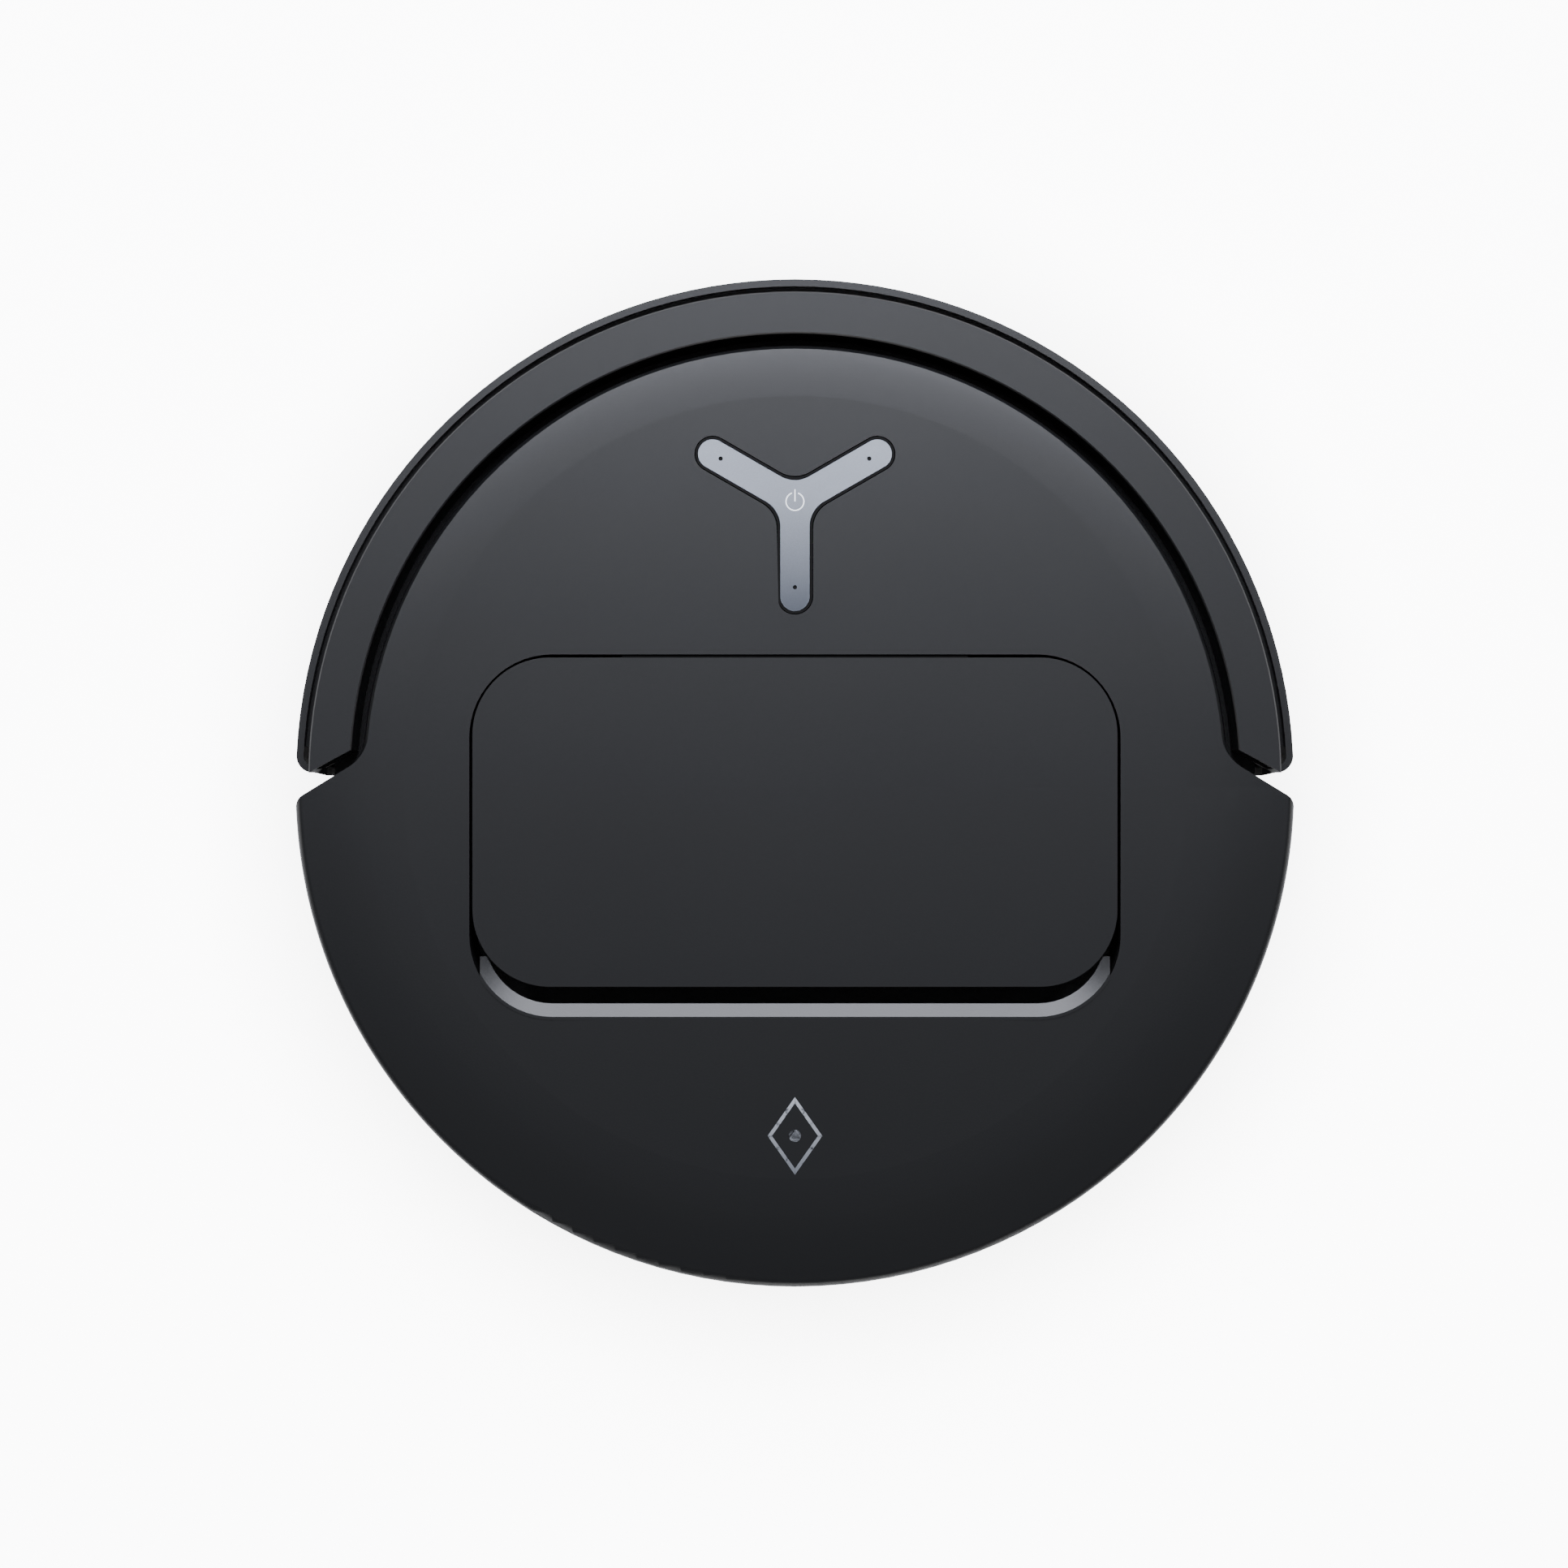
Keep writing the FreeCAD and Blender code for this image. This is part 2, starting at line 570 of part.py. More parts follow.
def make_visor():
    """A channel turned upside down: a broad top plate between two walls."""
    low = CARRIER_Z + CARRIER_T
    at = lambda x, z: V(x, FRONT_Y, z)
    top, inn, out, bevel = VISOR_TOP_Z, VISOR_IN_R, VISOR_OUT_R, VISOR_BEVEL
    edges = [
        Part.LineSegment(at(inn, low), at(inn, top - bevel)).toShape(),
        Part.LineSegment(at(inn, top - bevel), at(inn + bevel, top)).toShape(),
        Part.LineSegment(at(inn + bevel, top), at(out - bevel, top)).toShape(),
        Part.LineSegment(at(out - bevel, top), at(out, top - bevel)).toShape(),
        Part.LineSegment(at(out, top - bevel), at(out, low)).toShape(),
        Part.LineSegment(at(out, low), at(out - WALL, low)).toShape(),
        Part.LineSegment(at(out - WALL, low), at(out - WALL, top - WALL)).toShape(),
        Part.LineSegment(at(out - WALL, top - WALL), at(inn + WALL, top - WALL)).toShape(),
        Part.LineSegment(at(inn + WALL, top - WALL), at(inn + WALL, low)).toShape(),
        Part.LineSegment(at(inn + WALL, low), at(inn, low)).toShape(),
    ]
    visor = Part.Face(Part.Wire(edges)).revolve(V(0, FRONT_Y, 0), V(0, 0, 1), 360)
    visor = visor.fuse(make_carrier()).cut(ends_cut(0, top + 1))
    slit = ring(out - WALL - 1, out + 1, WINDOW_LOW_Z, WINDOW_TOP_Z)
    return visor.cut(slit.common(sector(WINDOW_HALF_ANGLE, 0, 99)))


def make_lidar_window():
    band = ring(VISOR_OUT_R - 1.9, VISOR_OUT_R - 0.2, WINDOW_LOW_Z + 0.05, WINDOW_TOP_Z - 0.05)
    return band.common(sector(WINDOW_HALF_ANGLE - 0.03, 0, 99))


def make_carrier():
    """The flange that joins the visor to the bumper's shell, with a slot for the scanner's post."""
    flange = ring(VISOR_IN_R, BUMPER_R - BUMPER_WALL, CARRIER_Z, CARRIER_Z + CARRIER_T)
    outer = ring(VISOR_OUT_R + GAP, BIG, CARRIER_Z - 1, CARRIER_Z + CARRIER_T + 1)
    flange = flange.cut(outer.common(box(-BIG, -BIG, 0, BIG, 12, 99)))
    return flange.cut(box(-LIDAR_HALF_X - 3, 150, 0, LIDAR_HALF_X + 3, FRONT_Y + VISOR_OUT_R - 4.6, 99))


SPRING_X = 52.0
SPRING_R = 3.0
LIDAR_HALF_X = 22.0
LIDAR_Y0 = 158.8
LIDAR_Y1 = 161.8


def make_bumper():
    node("bumper_shell", make_bumper_shell())
    node("sensor_window", make_front_window())
    node("bumper_visor", make_visor())
    node("lidar_window", make_lidar_window())
    head = box(-LIDAR_HALF_X, LIDAR_Y0, 78, LIDAR_HALF_X, LIDAR_Y1, 91)
    post = box(-LIDAR_HALF_X + 4, LIDAR_Y0, PARTING_Z - GAP, LIDAR_HALF_X - 4, LIDAR_Y1, 78)
    eyes = [cyl_y(x, LIDAR_Y1 - 1.2, LIDAR_Y1 + 0.1, 86.5, 3.2) for x in (-12, 12)]
    module = head.fuse(post)
    for eye in eyes:
        module = module.cut(eye)
    node("lidar_module", module)
    front = FRONT_Y + WAIST_R
    node("camera_module", box(-26, front + 0.05, 44, 26, front + 4.4, 62).cut(
        cyl_y(0, front + 2.4, front + 5, 53, 6)))
    switches = []
    for side in (-1, 1):
        switch = box(-7, WAIST_R + 0.0, 46, 7, WAIST_R + 4.5, 58)
        switch.rotate(V(0, 0, 0), V(0, 0, 1), side * 38)
        switch.translate(V(0, FRONT_Y, 0))
        switches.append(switch)
    node("bumper_switches", Part.makeCompound(switches))
    x = SPRING_X
    y_in = FRONT_Y + math.sqrt(WAIST_R ** 2 - (x - SPRING_R) ** 2)
    y_out = FRONT_Y + math.sqrt((BUMPER_R - BUMPER_WALL) ** 2 - (x + SPRING_R) ** 2)
    spring = cyl_y(x, y_in, y_out, 30, SPRING_R).cut(cyl_y(x, 0, 200, 30, SPRING_R - 1))
    node("bumper_springs", both_sides(spring))


# ---- Power key ----------------------------------------------------------------------------------
def make_key():
    low = TOP_Z - KEY_T - 1
    wires = [key_outline(KEY_HALF_W)]
    for k in range(3):
        a = math.radians(-90 + 120 * k)
        at = V(MIC_AT * math.cos(a), KEY_Y + MIC_AT * math.sin(a), 0)
        wires.append(Part.Wire(Part.Circle(at, V(0, 0, 1), MIC_R).toShape()))
    face = Part.makeFace(wires, "Part::FaceMakerBullseye")
    face.translate(V(0, 0, low))
    key = face.extrude(V(0, 0, TOP_Z + 1 - low)).common(crown_ball(0))
    node("power_key", key.cut(icon_shape(TOP_Z + 5)))
    node("power_light_guide", icon_shape(crown_height(KEY_Y - REAR_Y) - 0.03))
    frame = prism(key_outline(KEY_HALF_W + BEZEL_W), 90, TOP_Z + 1)
    frame = frame.cut(prism(key_outline(KEY_HALF_W + 0.15), 80, 120))
    node("key_bezel", frame.common(crown_ball(0.15)))
    board = box(-14, KEY_Y - 14, 88.4, 14, KEY_Y + 14, 90)
    node("key_board", board.fuse(cyl_z(0, KEY_Y, 90, low - KEY_TRAVEL - 0.4, 2.5)))


def icon_shape(top):
    """The power sign: an open ring, and a bar through its gap."""
    band = ring(ICON_R - ICON_LINE / 2, ICON_R + ICON_LINE / 2, ICON_Z, top, KEY_Y)
    band = band.cut(box(-1.1, KEY_Y, ICON_Z - 1, 1.1, KEY_Y + 6, top + 1))
    bar = box(-ICON_LINE / 2, KEY_Y, ICON_Z, ICON_LINE / 2, KEY_Y + 4.2, top)
    return Part.makeCompound([band, bar])


# ---- Dust bin -----------------------------------------------------------------------------------
INLET_HALF_X = 60.0
INLET_Z0 = 26.0
INLET_Z1 = 44.0
FILTER_HALF_X = 62.0
FILTER_Z0 = 30.0
FILTER_Z1 = 55.0
OUTLET_X0 = -78.0
OUTLET_X1 = -32.0
DUCT_Z0 = 46.5
DUCT_Z1 = 57.2


def make_well():
    outer = prism(opening_outline(-THIN - 0.2), SHELF_Z, WELL_RIM_Z - 1.8)
    outer = outer.fuse(box(-DEEP_HALF_X, DEEP_REAR_Y, WELL_FLOOR_Z, DEEP_HALF_X, DEEP_FRONT_Y, SHELF_Z + 1))
    inner = prism(opening_outline(-0.2), SHELF_Z + THIN, 99)
    inner = inner.fuse(box(-DEEP_HALF_X + THIN, DEEP_REAR_Y + THIN, WELL_FLOOR_Z + THIN,
                           DEEP_HALF_X - THIN, DEEP_FRONT_Y - THIN, SHELF_Z + 5))
    well = outer.cut(inner)
    inlet = box(-INLET_HALF_X, DEEP_FRONT_Y - 5, INLET_Z0, INLET_HALF_X, DEEP_FRONT_Y + 5, INLET_Z1)
    outlet = box(OUTLET_X0, DEEP_REAR_Y - 5, DUCT_Z0 + 2, OUTLET_X1, DEEP_REAR_Y + 5, DUCT_Z1 - 2)
    return well.cut(inlet).cut(outlet)


def make_bin():
    side = LID_HALF_X - 2.0
    deep = DEEP_HALF_X - THIN - SLIDE_GAP
    front = LID_FRONT_Y - 6.6
    y0, y1 = DEEP_REAR_Y + THIN + SLIDE_GAP, DEEP_FRONT_Y - THIN - SLIDE_GAP
    z0, shelf = WELL_FLOOR_Z + THIN + SLIDE_GAP, SHELF_Z + THIN + SLIDE_GAP
    outer = prism(rounded_rect(-side, BIN_REAR_Y, side, front, 24), shelf, BIN_TOP_Z)
    outer = outer.fuse(box(-deep, y0, z0, deep, y1, shelf + 1))
    inner = prism(rounded_rect(-side + THIN, BIN_REAR_Y + THIN, side - THIN, front - THIN, 22.2),
                  shelf + THIN, 99)
    inner = inner.fuse(box(-deep + THIN, y0 + THIN, z0 + THIN, deep - THIN, y1 - THIN, shelf + 5))
    shell = outer.cut(inner)
    shell = shell.cut(box(-INLET_HALF_X + 1, y1 - 4, INLET_Z0 + 1, INLET_HALF_X - 1, y1 + 4, INLET_Z1 - 1))
    shell = shell.cut(box(-FILTER_HALF_X, y0 - 4, FILTER_Z0, FILTER_HALF_X, y0 + 3, FILTER_Z1))
    film_y = LID_FRONT_Y + FILM_GAP
    flange = box(-FILM_HALF_X, front - THIN, BIN_TOP_Z - THIN, FILM_HALF_X, film_y + FILM_T, BIN_TOP_Z)
    node("bin_shell", shell.fuse(flange))
    node("lid_hinge_film", box(-FILM_HALF_X, film_y, BIN_TOP_Z, FILM_HALF_X, film_y + FILM_T, HINGE_Z))
    frame = box(-FILTER_HALF_X, y0 + 0.2, FILTER_Z0, FILTER_HALF_X, y0 + 7, FILTER_Z1)
    core = box(-FILTER_HALF_X + 2.5, y0 - 1, FILTER_Z0 + 2.5, FILTER_HALF_X - 2.5, y0 + 6, FILTER_Z1 - 2.5)
    node("filter_frame", frame.cut(core))
    node("bin_filter", core.common(frame))


def make_lid():
    outline = rounded_rect(-LID_HALF_X, LID_REAR_Y, LID_HALF_X, LID_FRONT_Y, LID_CORNER_R)
    skin = prism(outline, 85, 110).common(crown_ball(0)).cut(crown_ball(LID_T))
    rib = rounded_rect(-LID_HALF_X + 9, LID_REAR_Y + 9, LID_HALF_X - 9, LID_FRONT_Y - 9, LID_CORNER_R - 8)
    rib_in = rounded_rect(-LID_HALF_X + 11, LID_REAR_Y + 11, LID_HALF_X - 11, LID_FRONT_Y - 11,
                          LID_CORNER_R - 10)
    seat = TOP_Z - LID_T - 3.2
    wall = prism(rib, seat, 110).common(crown_ball(LID_T / 2)).cut(prism(rib_in, 80, 110))
    node("bin_lid", skin.fuse(wall))


# ---- Rollers ------------------------------------------------------------------------------------
def roller_bay(half_x, y0, y1, z0, z1):
    """An open-bottomed housing with two end walls."""
    outer = box(-half_x, y0, z0, half_x, y1, z1)
    return outer.cut(box(-half_x + THIN, y0 + THIN, z0 - 1, half_x - THIN, y1 - THIN, z1 - THIN))


def make_brush():
    bay = roller_bay(DEEP_HALF_X, 5, 55, CLEARANCE_Z + 0.2, 46)
    bay = bay.cut(box(-INLET_HALF_X, 0, INLET_Z0, INLET_HALF_X, 8, INLET_Z1 - 0.5))
    node("brush_housing", bay)
    guard = box(-DEEP_HALF_X + 2.2, 7.2, CLEARANCE_Z - 0.6, DEEP_HALF_X - 2.2, 52.8, CLEARANCE_Z + 1.4)
    guard = guard.cut(box(-BRUSH_HALF_X - 1.5, BRUSH_Y - 17, 0, BRUSH_HALF_X + 1.5, BRUSH_Y + 18, 30))
    for x in (-54, -27, 0, 27, 54):
        guard = guard.fuse(box(x - 1.2, 7.5, CLEARANCE_Z - 9.2, x + 1.2, 12.4, CLEARANCE_Z + 0.4)
                           .cut(box(-99, 0, 0, 99, 60, CLEARANCE_Z - 1.6)))
    node("brush_guard", guard)
    core = cyl_x(-BRUSH_HALF_X, BRUSH_HALF_X, BRUSH_Y, BRUSH_Z, 11)
    core = core.fuse(cyl_x(-BRUSH_HALF_X - 4, BRUSH_HALF_X + 4, BRUSH_Y, BRUSH_Z, SHAFT_R))
    fins = []
    for k in range(6):
        fin = box(-BRUSH_HALF_X + 2, BRUSH_Y - 1, BRUSH_Z + 11, BRUSH_HALF_X - 2, BRUSH_Y + 1,
                  BRUSH_Z + BRUSH_R)
        fin.rotate(V(0, BRUSH_Y, BRUSH_Z), V(1, 0, 0), 60 * k)
        fins.append(fin.cut(cyl_x(-BIG, BIG, BRUSH_Y, BRUSH_Z, 11.0)))
    node("main_brush_core", core)
    node("main_brush_fins", Part.makeCompound(fins))
    bearing = box(BRUSH_HALF_X + 1.2, BRUSH_Y - 8, BRUSH_Z - 9, DEEP_HALF_X - THIN, BRUSH_Y + 8, BRUSH_Z + 9)
    bearing = bearing.cut(cyl_x(0, 99, BRUSH_Y, BRUSH_Z, SHAFT_R + SHAFT_GAP))
    gearbox = box(-98, BRUSH_Y - 6, 24, -DEEP_HALF_X - 0.4, 73, 42)
    motor = cyl_x(-DEEP_HALF_X - 1, -48, 64.5, 33, 9)
    node("brush_motor", motor.fuse(gearbox))
    return both_sides(bearing)


def make_mop():
    bay = roller_bay(93, -142, -98, CLEARANCE_Z + 0.2, 44)
    node("mop_housing", bay)
    core = cyl_x(-MOP_HALF_X, MOP_HALF_X, MOP_Y, MOP_R, 12)
    core = core.fuse(cyl_x(-MOP_HALF_X - 3.5, MOP_HALF_X + 3.5, MOP_Y, MOP_R, SHAFT_R))
    sleeve = cyl_x(-MOP_HALF_X + 1, MOP_HALF_X - 1, MOP_Y, MOP_R, MOP_R)
    node("mop_roller_core", core)
    node("mop_roller_sleeve", sleeve.cut(cyl_x(-BIG, BIG, MOP_Y, MOP_R, 12)))
    bearing = box(MOP_HALF_X + 1.0, MOP_Y - 8, MOP_R - 8, 93 - THIN, MOP_Y + 8, MOP_R + 12)
    bearing = bearing.cut(cyl_x(0, 99, MOP_Y, MOP_R, SHAFT_R + SHAFT_GAP))
    node("mop_motor", cyl_x(93.4, 110, MOP_Y, MOP_R + 16, 9))
    return both_sides(bearing)


def make_side_brush():
    x, y = SIDE_BRUSH_X, SIDE_BRUSH_Y
    hub = cyl_z(x, y, 7.5, 15, 12).fuse(cyl_z(x, y, 15, 26, 2.5))
    away = math.degrees(math.atan2(y - FRONT_Y, x)) + 90
    tufts = []
    for turn in (0, 180):
        arm = box(9, -3.2, 5.0, 26, 3.2, 9.4)
        tuft = box(26, -2.2, 3.0, SIDE_BRUSH_REACH, 2.2, 8.0)
        for piece in (arm, tuft):
            piece.rotate(V(0, 0, 0), V(0, 0, 1), away + turn)
            piece.translate(V(x, y, 0))
        hub = hub.fuse(arm)
        tufts.append(tuft)
    node("side_brush_hub", hub)
    node("side_brush_bristles", Part.makeCompound(tufts))
    motor = cyl_z(x, y, 26.6, 52, 13).fuse(box(x - 11, y - 11, 22.6, x + 11, y + 11, 27))
    motor = motor.cut(cyl_z(x, y, 0, 40, 2.5 + SHAFT_GAP))
    node("side_brush_motor", motor)


# ---- Wheels -------------------------------------------------------------------------------------
def make_drive(name, flip):
    side = mirrored if flip else (lambda shape: shape)
    case = box(CASE_IN_X, -44, PAN_Z + 0.2, CASE_OUT_X, 57, 76)
    case = case.cut(box(CASE_IN_X + 1.5, -42.5, 0, CASE_OUT_X - 1.5, 55.5, 74.4))
    case = case.common(prism(body_outline(DOME_BASE_R, 2 * WALL + 1), 0, 99)
                       .fuse(prism(waist_outline(2 * WALL + 1), 0, PARTING_Z - 4)))
    arm_x0, arm_x1 = CASE_IN_X + 2.3, WHEEL_IN_X - 1.0
    arm = box(arm_x0, 0, WHEEL_R - 7, arm_x1, ARM_PIVOT_Y, WHEEL_R + 7)
    arm = arm.fuse(cyl_x(arm_x0, arm_x1, 0, WHEEL_R, 15))
    arm = arm.fuse(cyl_x(arm_x0, arm_x1, ARM_PIVOT_Y, ARM_PIVOT_Z, 7))
    arm = arm.fuse(cyl_x(arm_x1 - 1, WHEEL_OUT_X - 4, 0, WHEEL_R, 4.0))
    pivot_x1 = arm_x1 + 1.0
    arm = arm.cut(cyl_x(100, 150, ARM_PIVOT_Y, ARM_PIVOT_Z, 2.5 + SHAFT_GAP))
    node(name + "_wheel_arm", side(arm))
    pin = cyl_x(CASE_IN_X + 1.5, pivot_x1, ARM_PIVOT_Y, ARM_PIVOT_Z, 2.5)
    hub = cyl_x(WHEEL_IN_X, WHEEL_OUT_X - 1.5, 0, WHEEL_R, WHEEL_R - 7)
    hub = hub.cut(cyl_x(WHEEL_IN_X - 1, WHEEL_OUT_X - 4, 0, WHEEL_R, 4.0 + SHAFT_GAP))
    for k in range(5):
        a = math.radians(90 + 72 * k)
        hub = hub.cut(cyl_x(WHEEL_OUT_X - 5, WHEEL_OUT_X, 17 * math.cos(a), WHEEL_R + 17 * math.sin(a), 5.5))
    node(name + "_wheel_hub", side(hub))
    tyre = cyl_x(WHEEL_IN_X, WHEEL_OUT_X, 0, WHEEL_R, WHEEL_R)
    tyre = tyre.cut(cyl_x(100, 150, 0, WHEEL_R, WHEEL_R - 7))
    for k in range(30):
        groove = box(WHEEL_IN_X - 1, -1.3, WHEEL_R + WHEEL_R - 2.2, WHEEL_OUT_X + 1, 1.3, 2 * WHEEL_R + 2)
        groove.rotate(V(0, 0, WHEEL_R), V(1, 0, 0), 12 * k + 6)
        tyre = tyre.cut(groove)
    node(name + "_wheel_tyre", side(tyre))
    return side(case), side(pin)


def make_caster():
    y = CASTER_Y - CASTER_TRAIL
    fork = cyl_z(0, CASTER_Y, 28, 31, 14).fuse(cyl_z(0, CASTER_Y, 31, 43, 3.5))
    for side in (-1, 1):
        x0, x1 = sorted((side * 7.8, side * 10.2))
        cheek = box(x0, y - 5, CASTER_R, x1, CASTER_Y + 4, 29).fuse(cyl_x(x0, x1, y, CASTER_R, 5))
        fork = fork.fuse(cheek)
    axle = cyl_x(-11.0, 11.0, y, CASTER_R, 1.5)
    node("caster_fork", fork.cut(axle))
    node("caster_axle", axle)
    wheel = cyl_x(-7, 7, y, CASTER_R, CASTER_R)
    wheel = wheel.cut(cyl_x(-8, 8, y, CASTER_R, 1.5 + SHAFT_GAP))
    node("caster_wheel", wheel)
    socket = cyl_z(0, CASTER_Y, PAN_Z + 0.2, 43.6, 27).cut(cyl_z(0, CASTER_Y, 0, 31.8, 24.5))
    node("caster_socket", socket.cut(cyl_z(0, CASTER_Y, 0, 43.1, 3.5 + SHAFT_GAP)))


# ---- Power, air and water -----------------------------------------------------------------------
def make_inside():
    battery = prism(rounded_rect(-38, 62, 38, 140, 5), 45.0, 84.0)
    node("battery_pack", battery)
    door = box(-33.7, 62.3, CLEARANCE_Z, 33.7, 97.7, PAN_Z)
    for k in range(6):
        door = door.cut(box(-12 + 4 * k, 66, CLEARANCE_Z - 1, -10 + 4 * k, 74, CLEARANCE_Z + 0.8))
    node("battery_door", door)
    node("main_board", box(44, 60, 60, 104, 112, 61.6))
    duct = box(OUTLET_X0 - 4, -150, DUCT_Z0, OUTLET_X1 + 4, DEEP_REAR_Y - GAP, DUCT_Z1)
    duct = duct.cut(box(OUTLET_X0 - 2.4, -148.4, DUCT_Z0 + 1.6, OUTLET_X1 + 2.4, 0, DUCT_Z1 - 1.6))
    duct = duct.cut(cyl_z(BLOWER_X, BLOWER_Y, DUCT_Z1 - 3, 60, 12))
    node("suction_duct", duct)
    housing = cyl_z(BLOWER_X, BLOWER_Y, DUCT_Z1 + GAP, 88, BLOWER_R)
    housing = housing.cut(cyl_z(BLOWER_X, BLOWER_Y, DUCT_Z1 + GAP + THIN, 86, BLOWER_R - THIN))
    housing = housing.cut(cyl_z(BLOWER_X, BLOWER_Y, 50, 65, 12))
    housing = housing.cut(box(BLOWER_X - 40, BLOWER_Y - 12, 64, BLOWER_X - 20, BLOWER_Y + 6, 80))
    node("blower_housing", housing)
    motor = cyl_z(BLOWER_X, BLOWER_Y, 73, 86, 15)
    node("blower_motor", motor.cut(cyl_z(BLOWER_X, BLOWER_Y, 72, 80.5, 1.5 + SHAFT_GAP)))
    disc = cyl_z(BLOWER_X, BLOWER_Y, 70, 72, 27).fuse(cyl_z(BLOWER_X, BLOWER_Y, 62, 80, 1.5))
    disc = disc.fuse(cyl_z(BLOWER_X, BLOWER_Y, 62, 70.5, 4))
    for k in range(9):
        blade = box(3.5, -0.8, 62, 26, 0.8, 70.5)
        blade.rotate(V(14, 0, 0), V(0, 0, 1), 24)
        blade.rotate(V(0, 0, 0), V(0, 0, 1), 40 * k)
        blade.translate(V(BLOWER_X, BLOWER_Y, 0))
        disc = disc.fuse(blade)
    node("blower_impeller", disc)
    room = prism(body_outline(DOME_BASE_R, 2 * WALL + 1), 47, 90)
    tank = box(-18, -165, 47, 118, -88, 88).common(room)
    inside = box(-16.2, -163, 48.8, 116.2, -89.8, 86.2).common(
        prism(body_outline(DOME_BASE_R, 2 * WALL + 1 + THIN), 48.8, 86.2))
    node("water_tank", tank.cut(inside))


def build():
    make_casing()
    make_bumper()
    make_key()
    node("bin_well", make_well())
    make_bin()
    make_lid()
    bearings = [make_brush(), make_mop()]
    node("roller_bearings", Part.makeCompound(bearings))
    make_side_brush()
    right = make_drive("right", False)
    left = make_drive("left", True)
    node("wheel_cases", Part.makeCompound([right[0], left[0]]))
    node("arm_pins", Part.makeCompound([right[1], left[1]]))
    make_caster()
    make_inside()


def save():
    os.makedirs("parts", exist_ok=True)
    for name in sorted(NODES):
        shape = NODES[name]
        solids = shape.Solids
        clean = Part.makeCompound(solids) if len(solids) > 1 else solids[0]
        clean.exportStep(os.path.join("parts", name + ".step"))
        box_ = clean.BoundBox
        print("%-24s solids %2d valid %s vol %9.0f  x %7.1f %7.1f  y %7.1f %7.1f  z %6.1f %6.1f" % (
            name, len(solids), clean.isValid(), clean.Volume, box_.XMin, box_.XMax,
            box_.YMin, box_.YMax, box_.ZMin, box_.ZMax))


build()
save()
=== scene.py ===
# %% [markdown]
# # A round mopping robot vacuum, finished in Blender
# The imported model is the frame: every casing, wheel and key is already at its real size
# and place, in metres, with +Y to the front and +Z up. This lesson gives each part its
# finish, and swaps the soft parts (brushes, mop pile, springs, filter) for surfaces worked
# out with numpy. Nothing that came with the frame is moved.

# %% Load the frame
import math

import bpy
import numpy as np
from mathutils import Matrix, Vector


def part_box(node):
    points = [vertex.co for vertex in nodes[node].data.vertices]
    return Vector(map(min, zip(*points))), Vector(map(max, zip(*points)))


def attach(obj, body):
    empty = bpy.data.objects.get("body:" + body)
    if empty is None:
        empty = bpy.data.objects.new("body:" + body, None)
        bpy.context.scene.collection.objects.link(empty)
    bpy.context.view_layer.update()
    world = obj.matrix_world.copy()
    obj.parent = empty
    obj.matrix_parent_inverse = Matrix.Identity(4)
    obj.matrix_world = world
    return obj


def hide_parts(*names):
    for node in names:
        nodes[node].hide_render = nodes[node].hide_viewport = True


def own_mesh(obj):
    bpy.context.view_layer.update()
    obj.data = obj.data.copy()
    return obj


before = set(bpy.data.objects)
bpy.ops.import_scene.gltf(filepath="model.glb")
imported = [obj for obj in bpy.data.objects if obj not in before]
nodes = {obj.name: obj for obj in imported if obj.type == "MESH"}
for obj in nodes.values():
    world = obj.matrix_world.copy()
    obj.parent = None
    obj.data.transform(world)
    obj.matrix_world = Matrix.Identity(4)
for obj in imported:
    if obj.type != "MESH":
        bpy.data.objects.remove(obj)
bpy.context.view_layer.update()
MM = 0.001

# %% [markdown]
# ## Small tools for node graphs
# A moulded part is never one flat value: its grain catches light, its tone drifts a little
# and its corners polish. Each of those effects is used by many finishes, so each is a node
# group with named sockets, built once. The shader itself stays in the material, with its
# constant numbers typed straight into its own sockets.

# %% Node helpers
def add_node(tree, kind, **settings):
    """A node of that kind; settings are its properties, and socket values go in `inputs`."""
    values = settings.pop("inputs", {})
    node = tree.nodes.new(kind)
    for key, value in settings.items():
        setattr(node, key, value)
    for key, value in values.items():
        if isinstance(value, bpy.types.NodeSocket):
            tree.links.new(value, node.inputs[key])
        else:
            node.inputs[key].default_value = value
    return node


def maths(tree, operation, a, b=0.0, clamp=False):
    """The output of one Math node; a and b are numbers or sockets."""
    node = add_node(tree, "ShaderNodeMath", operation=operation, use_clamp=clamp, inputs={0: a, 1: b})
    return node.outputs[0]


def remap(tree, value, low, high, to_low=0.0, to_high=1.0):
    """value carried from low..high to to_low..to_high, clamped."""
    node = add_node(tree, "ShaderNodeMapRange", inputs={
        "Value": value, "From Min": low, "From Max": high, "To Min": to_low, "To Max": to_high})
    return node.outputs["Result"]


def noise(tree, vector, scale, detail=2.0, roughness=0.5):
    """The grey value of a noise texture."""
    node = add_node(tree, "ShaderNodeTexNoise", inputs={
        "Vector": vector, "Scale": scale, "Detail": detail, "Roughness": roughness})
    return node.outputs["Fac"]


def mix_colour(tree, factor, a, b):
    """a where factor is 0 and b where it is 1."""
    node = add_node(tree, "ShaderNodeMix", data_type="RGBA",
                    inputs={0: factor, 6: a, 7: b})
    return node.outputs[2]


def new_group(name, takes, gives):
    """An empty node group with float or vector inputs and outputs; returns tree, inputs, outputs."""
    tree = bpy.data.node_groups.new(name, "ShaderNodeTree")
    for label, kind, value in takes:
        socket = tree.interface.new_socket(label, in_out="INPUT", socket_type=kind)
        if value is not None:
            socket.default_value = value
    for label, kind in gives:
        tree.interface.new_socket(label, in_out="OUTPUT", socket_type=kind)
    return tree, tree.nodes.new("NodeGroupInput").outputs, tree.nodes.new("NodeGroupOutput").inputs


